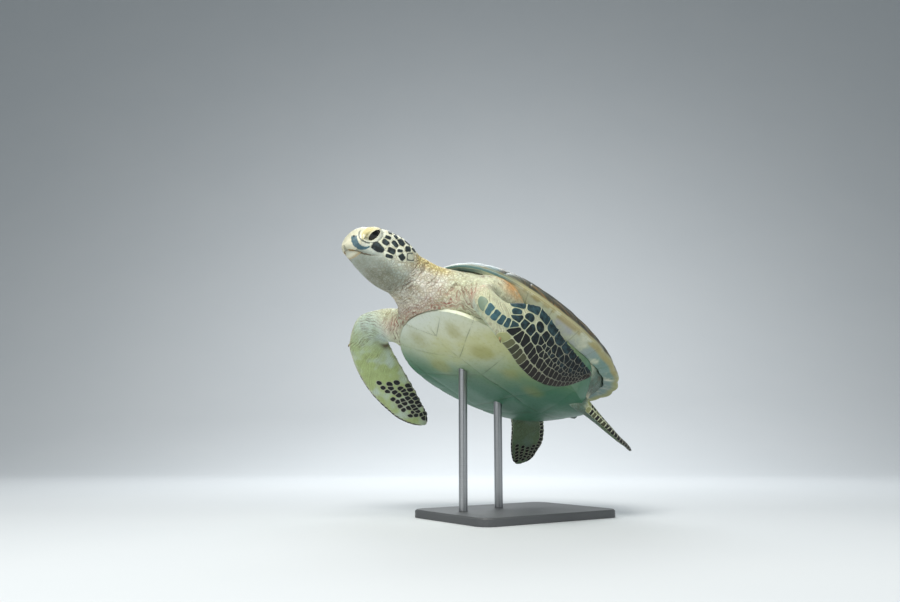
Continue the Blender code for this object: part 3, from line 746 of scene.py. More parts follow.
class Eye:
    """The tilted plane over one eye, in millimetres: back along the lids, up across them, out of the head."""

    def __init__(self, sign):
        self.sign = sign
        mirror = np.array((1.0, sign, 1.0))
        self.centre = EYE_MIDDLE * mirror
        self.axes = np.stack((EYE_BACK, EYE_UP, EYE_OUT)) * mirror

    def plane(self, points):
        """Points as distances back, up and out."""
        return np.moveaxis((points - self.centre) @ self.axes.T / MM, -1, 0)

    def point(self, back, up, out):
        """Distances back, up and out as points."""
        return self.centre + np.stack((back, up, out), -1) @ self.axes * MM

    def ring(self, points):
        """1 on the outer edge of the lids, 0 in the middle, a large number away from the eye."""
        back, up, out = self.plane(points)
        near = (np.abs(out) < 24.0) & (points[..., 1] * self.sign > 0.0)
        return np.where(near, oval_measure(LID_OVAL, back, up), AWAY)


EYES = {"left": Eye(1.0), "right": Eye(-1.0)}


def ball_height(back, up):
    """How far the eyeball stands out of the eye's plane: a shallow sphere over the middle of the slit."""
    square = (back - SLIT_OVAL[0]) ** 2 + (up - SLIT_OVAL[1]) ** 2
    return BALL_STAND - BALL_ROUNDING + np.sqrt(np.maximum(BALL_ROUNDING ** 2 - square, 1.0))


# ---- skin
def blade_share(blade, place):
    """1 on the free part of a flipper, 0 off it."""
    near = 1 - ramp(place[:, 3], blade.read(blade.half_depth, place[:, 0]) + 0.004, 0.06)
    return near * ramp(place[:, 0] / blade.length, 0.24, 0.34)


def crease(phase):
    """Rounded ridges with sharp valleys: the square root of the absolute sine, about its mean."""
    return np.sqrt(np.abs(np.sin(pi * phase))) - 0.76


def make_skin(look):
    """One skin over head, neck, flanks, flippers and tail: fused lofts, relaxed joins, raised folds."""
    points, faces = fuse((
        tube_through(HEAD, 100, 110), tube_through(NECK, 60, 110), tube_through(TAIL, 40, 48), trunk_loft(),
        *[blade.loft(120, 80) for blade in BLADES.values()],
        shoulder(1.0), shoulder(-1.0), collar(0.0, 78.0), collar(180.0, 66.0)))
    edges = edges_of(faces)
    p = level(points)
    places = {name: blade.place_of(p) for name, blade in BLADES.items()}
    share = {name: blade_share(BLADES[name], place) for name, place in places.items()}
    body = 1 - np.max(list(share.values()), axis=0)
    x = p[:, 0]
    p = relax(p, edges, 0.8, 2)
    join = ramp(x, 0.16, 0.26) * (1 - ramp(x, 0.55, 0.6)) + ramp(-x, 0.18, 0.24)
    join = np.maximum(np.clip(join, 0, 1) * body, bump(x, 0.572, 0.016))
    for _ in range(18):
        p = p + (neighbour_mean(p, edges) - p) * join[:, None] * 0.7
    normals = point_normals(p, faces)
    lift, fold, fold_share = skin_relief(p, places, share, body)
    p = p + normals * lift[:, None]
    p = relax(p, edges, 0.5, 1)
    p = above_plastron(p)
    bare = np.clip(ramp(x, 0.4, 0.46) + ramp(-x, 0.15, 0.25), 0, 1)
    pebble = (0.5 + 0.5 * body) * (0.35 + 0.65 * bare)
    pebble *= 1 - 0.75 * ramp(x, 0.66, 0.74) * (1 - 0.7 * ramp(-p[:, 2], 0.1, 0.14))
    flush = bump(x, 0.445, 0.045) * ramp(-p[:, 2], 0.07, 0.13) * body
    return piece("skin", p, faces, look, dict(tint=skin_tint(p, normals, places, share), fold=fold, place=p,
                                              fold_share=fold_share, pebble=pebble, flush=flush))


# spacing of the folds round neck, chest, rear and elbows
NECK_FOLDS, CHEST_FOLDS, REAR_FOLDS, ELBOW_FOLDS = 0.0165, 0.0145, 0.014, 0.0125
# heights of body and elbow folds, depths of eye sockets, lower jaw and mouth line, in shell units
BODY_FOLD, ELBOW_FOLD, SOCKET, JAW_STEP, MOUTH_CUT = 0.9 * MM, 0.45 * MM, 10.0 * MM, 1.1 * MM, 0.9 * MM


def skin_relief(p, places, share, body):
    """Folds of neck, chest, elbows and tail, eye sockets and the mouth's step, as heights in shell units."""
    x, y, z = p.T
    warp = noise(p, 0.05, 3) * 0.8 + noise(p, 0.018, 4) * 0.5 + noise(p, 0.007, 5) * 0.2
    ring = (x + 0.35 * (z + 0.05)) / NECK_FOLDS + warp * 1.1
    neck = ramp(x, 0.43, 0.5) * (1 - ramp(x, 0.58, 0.625)) * body
    chest_ring = np.hypot(x - 0.12, y * 0.95) / CHEST_FOLDS + warp * 1.2
    chest = ramp(x, 0.25, 0.33) * (1 - ramp(x, 0.43, 0.49)) * body
    rear_ring = np.hypot(x + 0.1, y) / REAR_FOLDS + warp
    rear = ramp(-x, 0.22, 0.28) * body
    fold = ring * (x > 0.46) + chest_ring * ((x <= 0.46) & (x > 0.0)) + rear_ring * (x <= 0.0)
    broken = 0.35 + 0.65 * ramp(noise(p, 0.03, 6) + 0.5 * noise(p, 0.011, 7), -0.35, 0.45)
    lift = neck * crease(ring) + 1.1 * chest * crease(chest_ring) + 0.7 * rear * crease(rear_ring)
    lift = BODY_FOLD * broken * lift
    fold_share = np.clip(neck + chest + rear, 0, 1) * broken
    for name, blade in BLADES.items():
        s, across, _, _ = places[name].T
        along = s / blade.length
        bend = ramp(along, 0.2, 0.27) * (1 - ramp(along, 0.42, 0.6)) * share[name]
        bend *= 1.0 if name.startswith("front") else 0.6
        phase = (s * (1 - 0.25 * across)) / ELBOW_FOLDS + warp * 0.8
        lift += ELBOW_FOLD * bend * broken * crease(phase)
        chosen = share[name] > 0.5
        fold = np.where(chosen, phase, fold)
        fold_share = np.where(chosen, (0.8 * bend + 0.42 * (1 - bend)) * broken, fold_share)
    for eye in EYES.values():
        r = eye.ring(p)
        lift -= SOCKET * (1 - ramp(r, 0.6, 0.94))
        lift += 1.0 * MM * bump(r, 1.22, 0.2) * ramp(z, -0.03, 0.01)
    under_line = mouth_height(x) - z
    jaw = ramp(x, 0.745, 0.765) * np.exp(-np.maximum(under_line, 0.0) / 0.01) * (under_line > 0.0)
    slit = bump(under_line, 0.0, 0.0035) * ramp(x, 0.718, 0.735) * (1 - ramp(x, 0.76, 0.78))
    lift -= JAW_STEP * jaw + MOUTH_CUT * slit
    lift += 0.35 * MM * noise(p, 0.012, 9) * body * (1 - ramp(x, 0.6, 0.66))
    return lift, fold, fold_share


def mouth_height(forward):
    """Height of the closed mouth line: falling gently forwards, its crease rising behind the corner."""
    gone = forward - MOUTH_CORNER[0]
    return MOUTH_CORNER[1] + np.where(gone > 0.0, MOUTH_SLOPE, CREASE_SLOPE) * gone


def skin_tint(p, normals, places, share):
    """Ground colour of the skin, with painted shade under the head, at the rear, on the hind undersides and
    in the front flippers' root pits: named paints laid over one another by smooth masks of place.
    """
    x, y, z = p.T
    patch = noise(p, 0.06, 11) * 0.5 + noise(p, 0.022, 12) * 0.35
    tint = np.tile(SHOULDER, (len(p), 1))
    upper = ramp(normals[:, 2], -0.2, 0.7)
    lower = ramp(-normals[:, 2], -0.1, 0.6)
    tint = over(tint, REAR_GREY, ramp(-x, 0.15, 0.25))
    # the tail's dark green, partly painted shade over the rear
    tint = over(tint, TAIL_GREEN_AND_SHADE, ramp(-x, 0.28, 0.42) * 0.8)
    neck = ramp(x, 0.44, 0.49)
    tint = over(tint, NECK_PALE, neck * np.clip(lower + 0.75, 0, 1))
    tint = over(tint, NAPE, neck * np.clip(upper + 0.25 * patch, 0, 1))
    chest = bump(x + 0.025 * patch, 0.445, 0.05) * ramp(-z, 0.06, 0.13)
    tint = over(tint, FOLD_PINK, np.clip(chest * (0.45 + 0.5 * patch), 0.0, 0.6))
    rust = bump(x, 0.3, 0.05) * ramp(np.abs(y), 0.2, 0.27) * ramp(z, -0.1, -0.04)
    tint = over(tint, RUST, np.clip(rust * (0.8 + 1.4 * patch), 0.0, 0.8))
    head = ramp(x, 0.575, 0.605)
    tint = over(tint, CREAM, head)
    cheek = head * ramp(-z, 0.05, 0.1) * (1 - ramp(-z, 0.12, 0.15)) * (1 - ramp(x, 0.77, 0.81))
    tint = over(tint, CHEEK, cheek)
    tint = over(tint, THROAT, head * ramp(-z, 0.105, 0.15) * (0.75 + 0.3 * patch))
    # painted shade under the head and neck, where the skin faces down
    chin = ramp(x, 0.54, 0.6) * ramp(-normals[:, 2], 0.35, 0.85)
    tint = over(tint, CHIN_SHADE, chin * (0.65 + 0.4 * patch))
    for name, blade in BLADES.items():
        s, across, side_of, _ = places[name].T
        along = s / blade.length
        upside = ramp(side_of, -0.002, 0.002)
        under = np.tile(UNDER_GREEN, (len(p), 1))
        under = over(under, UNDER_PALE, (1 - ramp(along, 0.3, 0.55)) * np.clip(1.0 + 0.5 * patch, 0, 1))
        under = over(under, UNDER_LILAC, np.clip(1.6 * patch + 0.1, 0.0, 0.75))
        if name.startswith("hind"):
            # hind undersides darkened green: partly their own colour, partly painted shade
            under = over(under, TAIL_GREEN_AND_SHADE, np.full(len(p), 0.75))
        else:
            # painted shadow in the pit where the flipper's underside meets the body
            pit_shadow = bump(along, 0.44, 0.034) * ramp(-across, 0.4, 0.8)
            under = over(under, PIT_SHADE, np.clip(pit_shadow * (1.0 + patch), 0.0, 0.9))
            edge = ramp(np.abs(across), 0.8, 0.97) * ramp(along, 0.25, 0.4)
            under = over(under, BLADE_CREAM, 0.5 * edge * (1 - pit_shadow))
        upper_ground = over(np.tile(BLADE_CREAM, (len(p), 1)), TIP_GREY, ramp(along, 0.45, 0.85))
        tint = over(tint, over(under, upper_ground, upside), share[name])
    return np.clip(tint * (1.0 + 0.1 * patch[:, None]), 0, 1)


# ---- lids, eyeballs and beak
def head_height(eye, back, up):
    """How far the head stands out of an eye's plane: the way out is halved until inside and outside meet."""
    low, high = np.full(np.shape(back), -30.0), np.full(np.shape(back), 26.0)
    for _ in range(22):
        middle = (low + high) / 2.0
        point = eye.point(back, up, middle)
        centre, half_width, half_height, square = head_section(point[..., 0])
        rise = (point[..., 2] - centre) / half_height
        inside = np.abs(point[..., 1] / half_width) ** square + np.abs(rise) ** square < 1.0
        inside &= point[..., 0] < HEAD[-1, 0]
        low, high = np.where(inside, middle, low), np.where(inside, high, middle)
    return low


def make_lids(name, eye, look):
    """Heavy lids: a sheet from the slit, rolled on the eyeball, over a swollen ring to a groove."""
    rings, spokes = 48, 200
    rho, tau = np.linspace(0.0, 1.0, rings)[:, None], turns(spokes)[None]
    slit, ring = oval(SLIT_OVAL, tau), oval(LID_OVAL, tau)
    back, up = [a + (b - a) * rho ** 0.9 for a, b in zip(slit, ring)]
    skin = head_height(eye, back, up)
    hold = 1 - ramp(rho, 0.1, 0.75)
    wide = np.hypot(ring[0] - slit[0], ring[1] - slit[1])
    swell = (1.6 + 0.17 * wide) * bump(rho, 0.4, 0.3) + 1.0 * bump(rho, 0.06, 0.07)
    groove = 2.4 * ramp(rho, 0.82, 1.0)
    wrinkle = 0.16 * np.sin(rho * wide * 3.4 + 2.0 * noise(np.stack((back, up, skin), -1), 9.0, 5))
    rolled = 1.6 * (1 - ramp(rho, 0.0, 0.05))
    out = skin + (ball_height(back, up) - skin) * hold + swell - groove - rolled
    out = out + wrinkle * ramp(rho, 0.15, 0.4) * (1 - ramp(rho, 0.8, 0.95))
    brow = 3.6 * ramp(rho, 0.76, 1.0) * ramp(up, 5.0, 12.0)
    grid = eye.point(back, up - brow, out)
    deeper = eye.axes[2] * 3.0 * MM
    grid = np.concatenate((grid[:1] - deeper, grid, grid[-1:] - deeper))
    rho_note = np.concatenate(((0.0,), rho[:, 0], (1.0,)))[:, None] * np.ones(spokes)
    return piece(name, grid.reshape(-1, 3), ring_faces(len(grid), spokes), look,
                 {"lid": rho_note.ravel(), "place": grid.reshape(-1, 3)}, flip=eye.sign > 0.0)


def make_eyeball(name, eye, look):
    """A shallow oval lens: its front the eyeball's sphere, its back a flat dome."""
    polar, tau = np.linspace(0.03, pi - 0.03, 40)[:, None], turns(64)[None]
    wide = oval((0.0, 0.0, BALL_REACH, BALL_ACROSS, SLIT_OVAL[4]), tau)
    back, up = [middle + reach * np.sin(polar) for middle, reach in zip(SLIT_OVAL, wide)]
    edge = ball_height(SLIT_OVAL[0] + wide[0], SLIT_OVAL[1] + wide[1])
    out = np.where(polar < pi / 2.0, ball_height(back, up), edge + 5.0 * np.cos(polar))
    note = np.concatenate((np.hypot(back - SLIT_OVAL[0], up - SLIT_OVAL[1]).ravel(), (0.0, 0.0)))
    return closed_piece(name, *capped(eye.point(back, up, out)), look, {"off_middle": note})


def make_beak(name, upper, look):
    """A horn sheath over the snout: rings from mouth line to mouth line, drawn to a point, then thickened."""
    rows, closing, columns = 40, 14, 120
    back, end = (0.797, 0.83) if upper else (0.776, 0.812)
    x = back + (end - back) * np.sin(np.linspace(0.0, pi / 2.0, rows))[:, None]
    line = mouth_height(x) + (-1.3 if upper else -0.5) * MM
    middle, _, half_height, square = head_section(x[:, 0])
    rise = np.clip((line[:, 0] - middle) / half_height, -0.98, 0.98)
    start = np.arcsin(power(rise, square / 2.0))[:, None]
    share = np.linspace(0.0, 1.0, columns)[None]
    angle = start + (pi - 2.0 * start) * share if upper else start - (pi + 2.0 * start) * share
    surface = head_point(x * np.ones((1, columns)), angle)
    tip = np.array((end + BEAK_POINT, 0.0, max(line[-1, 0], curve_through(HEAD, x[:, 0])[-1, 2])))
    k = np.linspace(0.94, 0.03, closing)[:, None, None]
    front = tip + (surface[-1] - tip) * k - np.array((BEAK_POINT, 0.0, 0.0)) * k ** 2
    surface = np.concatenate((surface, front))
    rows += closing
    heart = np.stack((np.minimum(surface[..., 0] - 0.02, 0.8), np.zeros((rows, columns)),
                      np.interp(surface[..., 0], x[:, 0], middle)), -1)
    out = unit(surface - heart)
    edge = np.minimum(np.minimum(share, 1 - share) * 10.0, 1.0) * np.ones((rows, 1))
    fade = ramp(np.linspace(0.0, 1.0, rows), 0.0, 0.14)[:, None]
    thick = (0.9 if upper else 0.5) * MM * (0.5 + 0.5 * np.sqrt(edge))
    outer = surface + out * (thick * fade - (1 - fade) * 0.6 * MM)[..., None]
    inner = surface - out * (1.6 * MM)
    points = np.concatenate((outer.reshape(-1, 3), inner.reshape(-1, 3)))
    top = sheet_faces(rows, columns)[0]
    count = rows * columns
    low = top[:, ::-1] + count
    ids = np.arange(count).reshape(rows, columns)
    border = np.concatenate((ids[0, :-1], ids[:-1, -1], ids[-1, :0:-1], ids[:0:-1, 0]))
    after = np.roll(border, -1)
    wall = np.stack((after, border, border + count, after + count), -1)
    over_line = np.abs(outer[..., 2] - mouth_height(outer[..., 0])) / MM
    notes = {"over_line": np.tile(over_line.ravel(), 2), "place": points}
    return closed_piece(name, points, [top, low, wall], look, notes)


# ---- scales
def cell_reach(seeds, directions, walls, farthest, softness=12.0):
    """How far each scale reaches in each direction: half way to its neighbours, with softened corners.

    The inverse reach is the p-norm, over all neighbours, of the direction's share of each gap by half of it.
    """
    gap = seeds[None] - seeds[:, None]
    half_square = np.einsum("ijk,ijk->ij", gap, gap) / 2.0
    half_square[half_square == 0.0] = np.inf
    toward = np.einsum("ijk,imk->imj", gap, directions)
    inverse = (np.maximum(toward, 0.0) / half_square[:, None]) ** softness
    total = inverse.sum(-1)
    for normal, distance in walls:
        toward = np.maximum(directions @ np.asarray(normal), 0.0)
        total += (toward / np.maximum(distance, 1e-4)[:, None]) ** softness
    total += (1.0 / farthest[:, None]) ** softness
    return total ** (-1.0 / softness)


# rings of a scale from its edge inwards: inset in millimetres, least share of its reach, rise as a share of
# its height; the first is sunk below the skin, and the last two go by share alone
SCALE_RINGS = ((0.0, 1.0, -1.0), (0.0, 1.0, 0.25), (0.25, 1 - 0.22 * 0.25 / 0.75, 0.8), (0.75, 0.78, 1.0),
               (1000.0, 0.55, 1.12), (1000.0, 0.2, 1.18))


def scale_plates(name, parts, look):
    """Raised scales in one mesh, each six rings and a middle point: sunk edge, rounded shoulder, domed top.

    Every part gives a surface to stand on, seeds on it, walls, the scales' notes and a patch of the unwrap.
    """
    all_points, all_faces, notes, unwrap, base = [], [], {}, [], 0
    for part in parts:
        seeds, count, keep = part["seeds"], part["corners"], part["keep"]
        around = turns(count)
        directions = np.stack((np.cos(around), np.sin(around)), -1) * np.ones((len(seeds), 1, 1))
        reach = cell_reach(seeds, directions, part["walls"], part["farthest"])
        reach = np.maximum(reach - part["gap"] * MM, 0.25 * reach)
        seeds, directions, reach = seeds[keep], directions[keep], reach[keep]
        height = part["height"][keep][:, None]
        rings, margins, flats = [], [], []
        for inset, share, rise in SCALE_RINGS:
            size = np.maximum(reach - inset * MM, reach * share)
            flats.append(seeds[:, None] + directions * size[..., None])
            lift = height * rise if rise > 0 else np.full_like(height, -0.5 * MM)
            rings.append(part["surface"](flats[-1][..., 0], flats[-1][..., 1], lift * np.ones_like(size)))
            margins.append((reach - size) / MM)
        rings.append(part["surface"](seeds[:, 0], seeds[:, 1], height[:, 0] * SCALE_RINGS[-1][2])[:, None])
        points = np.concatenate(rings, 1)
        flat = np.concatenate((*flats, seeds[:, None]), 1)
        n, each, _ = points.shape
        found = {"margin": np.concatenate((*margins, reach.mean(1)[:, None] / MM), 1).ravel()}
        found.update({key: np.repeat(part[key][keep], each) for key in ("tone", "warm", "rim_width")})
        found["along"] = np.repeat(seeds[:, 0] / part.get("length", 1.0), each)
        if "heart" in part:
            found["heart"] = part["heart"](points, keep).reshape(-1, 3)
        for key, value in found.items():
            notes.setdefault(key, []).append(value)
        start = base + np.arange(n)[:, None, None] * each
        for kind in ring_faces(len(SCALE_RINGS), count, False, True):
            placed = (kind[None] + start).reshape(-1, kind.shape[1])
            all_faces.append(placed if part["outward"] else placed[:, ::-1])
        all_points.append(points.reshape(-1, 3))
        unwrap.append(part["unwrap"](flat[..., 0], flat[..., 1]).reshape(-1, 2))
        base += n * each
    points = np.concatenate(all_points)
    made = piece(name, points, all_faces, look, {k: np.concatenate(v) for k, v in notes.items()})
    layer = made.data.uv_layers.new(name="OFBake")
    corners = read_list(made.data.loops, "vertex_index", np.int32)
    layer.data.foreach_set("uv", np.concatenate(unwrap)[corners].astype(np.float32).ravel())
    return made


def row_seeds(blade, rows, rng):
    """Seeds in rows down a blade: each value runs evenly from a row's start to its end, a little jittered."""
    out = []
    for row in rows:
        s = row["start"] * blade.length
        while s < row["end"] * blade.length:
            t = (s / blade.length - row["start"]) / (row["end"] - row["start"])
            at, spacing, tone, warm, rim, height, reach = [
                np.interp(t, (0.0, 1.0), np.broadcast_to(row[key], 2))
                for key in ("at", "spacing", "tone", "warm", "rim", "height", "reach")]
            jitter = rng.uniform(-1.0, 1.0, 3) * row["jitter"]
            sideways = 0.55 * jitter[0] * spacing * MM / blade.arc_width(s)
            onward = 0.7 * jitter[1] * spacing * MM
            tone = tone + 0.5 * jitter[2]
            out.append((s + onward, at + sideways, tone, warm, rim, height, reach, row["share"]))
            s += spacing * MM
    return np.array(out)


def blade_part(blade, face, rows, seed, atlas):
    """Scales of one face of a flipper; those of the upper face reach a little way round both edges."""
    rng = np.random.default_rng(seed)
    table = row_seeds(blade, rows, rng)
    s, at = table[:, 0], table[:, 1]
    width = blade.arc_width(s)
    ahead, behind = (1.13, 1.05) if face > 0.0 else (0.86, 0.94)
    at = np.clip(at, 0.08 - behind, ahead - 0.08)
    seeds = np.stack((s, at * width), -1)
    walls = [((0.0, 1.0), (ahead - at) * width), ((0.0, -1.0), (behind + at) * width)]

    def surface(a, b, lift):
        """Place on the blade's face, b the way round it from its middle, raised square to it."""
        return blade.lifted(a, np.clip(b / blade.arc_width(a), -1.2, 1.2), face, lift)

    def unwrap(a, b):
        """Place along and round the face, shrunk into a corner of the unwrap."""
        u = atlas[0] + 0.46 * np.clip(a / blade.length, 0, 1)
        return np.stack((u, atlas[1] + 0.11 + 0.1 * np.clip(b / 0.15, -1.0, 1.0)), -1)

    probe = np.array((0.6, 0.7)) * blade.length
    a = surface(probe, np.array((0.0, 0.0)), np.zeros(2))
    b = surface(probe, np.array((0.01, 0.01)), np.zeros(2))
    outward = np.dot(np.cross(a[1] - a[0], b[0] - a[0]), blade.read(blade.normal, probe)[0] * face) > 0.0
    keep = rng.uniform(0.0, 1.0, len(table)) < table[:, 7]
    return dict(surface=surface, seeds=seeds, walls=walls, farthest=table[:, 6] * MM, corners=28, gap=0.2,
                height=table[:, 5] * MM, tone=table[:, 2], warm=table[:, 3], rim_width=table[:, 4], keep=keep,
                unwrap=unwrap, outward=outward, length=blade.length)


def row(at, start, end, spacing, warm=0.0, rim=(0.8, 0.5), height=0.55, tone=0.95, reach=22.0, jitter=0.14,
        share=1.0):
    """One row of scales, in millimetres: at is the place round the section, start and end blade shares.

    Warm runs from -1, teal, through 0, slate, to 1, brown, and tone from 0, pale, to 1, dark.
    """
    return dict(at=at, start=start, end=end, spacing=spacing, warm=warm, rim=rim, height=height, tone=tone,
                reach=reach, jitter=jitter, share=share)


UPPER_ROWS = (
    row((0.62, 0.24), 0.35, 0.475, 10.5, (-1, -0.4), 1, 0.8, (0.44, 1), 12, 0.1),
    row((-0.8, -0.76), 0.435, 0.97, (31, 17), (-0.35, 0), (0.5, 0.2), 1, reach=18, jitter=0.08),
    row(-0.36, 0.45, 0.6, 27, (-0.3, 0), 0.9, 0.6, reach=12, jitter=0.12),
    row((-0.1, 0.02), 0.47, 0.62, 17, (-0.2, 0), 0.9, 0.7, jitter=0.12),
    row((-0.34, -0.22), 0.635, 0.94, (14, 9), 0, (0.4, 0.2), 0.5, jitter=0.42),
    row((-0.1, 0.02), 0.625, 0.92, (9.5, 8.5), 0, (0.4, 0.2), 0.45, jitter=0.45),
    row((0.1, 0.22), 0.645, 0.92, (8.5, 9), 0.1, (0.4, 0.2), 0.45, jitter=0.45),
    row((0.4, 0.46), 0.49, 0.95, (15, 7), (0.1, 0.4), (0.5, 0.2), 0.6, (0.75, 1), jitter=0.28),
    row((0.84, 0.86), 0.48, 0.965, (14, 7), (0.2, 0.7), (0.5, 0.2), 0.6, (0.45, 1), 13, 0.14),
)
UNDER_ROWS = (
    row(-0.8, 0.74, 0.97, (14, 10), 0.1, 0.8, 0.45, reach=8.5, jitter=0.35, share=0.9),
    row(-0.44, 0.71, 0.96, (12, 9), 0.1, 0.9, 0.45, reach=8, jitter=0.42),
    row((-0.06, -0.18), 0.7, 0.95, 12, 0.1, 1, 0.45, reach=8, jitter=0.42),
    row((0.3, 0.1), 0.68, 0.93, 11, 0.1, 1.1, 0.45, reach=7, jitter=0.42, share=0.7),
)
HIND_UPPER_ROWS = [
    row(at, start, end, spacing, warm, 0.9, 0.5, (tone, 0.9), reach, jitter)
    for at, start, end, spacing, warm, tone, reach, jitter in (
        (-0.8, 0.34, 0.96, 10, 0, 0.55, 9, 0.25), (-0.45, 0.34, 0.95, 9, 0, 0.55, 8, 0.3),
        (-0.1, 0.32, 0.94, 8.5, 0, 0.5, 8, 0.3), (0.24, 0.32, 0.94, 8.5, 0.1, 0.5, 8, 0.3),
        (0.6, 0.32, 0.95, 9, 0.2, 0.5, 8, 0.25), (0.95, 0.34, 0.96, 9, 0.3, 0.5, 8, 0.2))]
HIND_UNDER_ROWS = [
    row(at, start, 0.96, spacing, 0.2, 0.8, 0.45, reach=reach, jitter=0.25)
    for at, start, spacing, reach in (
        (-0.8, 0.54, (9, 7.5), 6), (-0.5, 0.8, 7.5, 5.5), (-0.15, 0.82, 7.5, 5.5), (0.22, 0.8, 7.5, 5.5),
        (0.58, 0.78, 8, 5.5))]


# shields of the left side: forward, degrees up from the side, dark heart's half length and half width in
# millimetres, its tilt on the eye's plane in degrees, tone
HEAD_SHIELDS = (
    (0.741, -18.7, 11.8, 8, -35, 1), (0.727, 0.4, 6.8, 4.6, -35, 1), (0.725, 14.1, 5.5, 3, -20, 1),
    (0.724, 37.2, 5.7, 2.2, -20, 1), (0.693, 7, 6.8, 3.8, -50, 1), (0.696, 30.6, 4.4, 2.7, -50, 1),
    (0.673, 22.1, 8, 5, -60, 1), (0.694, -7.6, 7.4, 5.1, -25, 1), (0.692, -21.4, 6.3, 3.2, -15, 1),
    (0.665, 0.8, 4.6, 2.7, -5, 1), (0.649, -5.4, 6.5, 4.9, -60, 1), (0.638, 17.3, 5.4, 4.8, 0, 1),
    (0.608, 34.6, 5, 2.6, -50, 0.9), (0.616, 5.7, 8.2, 6.8, 0, 0.5), (0.64, 46, 6.5, 4, -40, 1),
    (0.612, 56, 6, 4, -40, 0.9), (0.7, 58, 8, 5.5, -30, 1), (0.738, 62, 7, 5, -30, 1),
    (0.664, 64, 7, 5, -30, 1), (0.59, 14, 4, 3, 0, 0),
    (0.748, -42, 5, 5, 0, 0), (0.718, -38, 5, 5, 0, 0), (0.692, -39, 5, 5, 0, 0),
    (0.664, -26, 5, 5, 0, 0), (0.632, -24, 5, 5, 0, 0), (0.6, -12, 5, 5, 0, 0),
    (0.59, 40, 4, 3, 0, 0), (0.586, 66, 4, 3, 0, 0))
# shields along the crown: the same, tilts measured from the middle line
CROWN_SHIELDS = ((0.716, 90, 9, 6, 0, 1), (0.744, 90, 5.5, 4, 0, 1), (0.68, 90, 8, 6, 0, 1),
                 (0.642, 82, 7, 3.4, 0, 1), (0.642, 98, 7, 3.4, 0, 1), (0.606, 83, 5.5, 3.4, 0, 0.9),
                 (0.606, 97, 5.5, 3.4, 0, 0.9))
HEAD_GIRTH = 0.1


def head_part():
    """Shields of the head, written on the left side, mirrored, with a middle row on the crown."""
    left, crown = np.array(HEAD_SHIELDS), np.array(CROWN_SHIELDS)
    right = left * (1.0, -1.0, 1.0, 1.0, 1.0, 1.0) + (0.0, 180.0, 0.0, 0.0, 0.0, 0.0)
    table = np.concatenate((left, right, crown))
    seeds = np.stack((table[:, 0], np.radians(table[:, 1]) * HEAD_GIRTH), -1)
    n = len(table)
    c, s = np.cos(np.radians(table[:, 4]))[:, None], np.sin(np.radians(table[:, 4]))[:, None]
    sets = [np.tile(axes, (count, 1, 1)) for axes, count in (
        (EYES["left"].axes[:2], len(left)), (EYES["right"].axes[:2], len(left)),
        (np.array(((-1.0, 0.0, 0.0), (0.0, 1.0, 0.0))), len(crown)))]
    axes = np.concatenate(sets)
    along = (axes[:, 0] * c + axes[:, 1] * s) / (table[:, 2] * MM)[:, None]
    over_it = (axes[:, 1] * c - axes[:, 0] * s) / (table[:, 3] * MM)[:, None]

    def surface(a, b, lift):
        """Place on the head, b the way round it over its girth, raised square to it."""
        angle = b / HEAD_GIRTH
        a = np.clip(a, 0.566, 0.829)
        here = head_point(a, angle)
        out = surface_normal(head_point, a, angle)
        out = out * np.sign(np.einsum("...k,...k->...", out, here - np.array((0.68, 0.0, -0.05))))[..., None]
        return here + out * (lift - COAT_DEPTH)[..., None]

    def unwrap(a, b):
        """Place along and round the head, shrunk into a corner of the unwrap."""
        return np.stack((0.02 + (a - 0.55) * 3.0 * 0.32, 0.72 + 0.08 + b / HEAD_GIRTH / (2 * pi) * 0.16), -1)

    here = surface(seeds[:, 0], seeds[:, 1], np.zeros(n))
    keep = table[:, 5] > 0.02
    for eye in EYES.values():
        keep &= eye.ring(here) > 1.0

    def heart(points, kept):
        """Place of each point on its shield's dark heart, in half lengths and half widths."""
        gap = points - here[kept][:, None]
        a, b = [np.einsum("nkj,nj->nk", gap, way[kept]) for way in (along, over_it)]
        return np.stack((a, b, np.zeros_like(a)), -1)

    even = np.ones(n)
    return dict(surface=surface, seeds=seeds, walls=[], farthest=even * (17.0 * MM), corners=40, gap=0.25,
                height=even * (0.55 * MM), tone=table[:, 5], warm=even * 0.0, rim_width=even, keep=keep,
                unwrap=unwrap, outward=False, heart=heart)


# ---- carapace and plastron
def triangle(phase):
    """1 half way between whole numbers, 0 on them."""
    return 1 - 2.0 * np.abs(phase - np.floor(phase) - 0.5)


# forward: joints of the five vertebral plates, seams between the costal plates, and their growth centres
VERTEBRAL_JOINTS = np.array((-0.47, -0.25, -0.08, 0.1, 0.27, 0.44))
COSTAL_SEAMS = np.array((0.19, 0.015, -0.165))
COSTAL_CENTRES = np.array((0.235, 0.075, -0.105, -0.235))
# share of the way out at which the marginals begin
MARGINAL_SHARE = 0.865


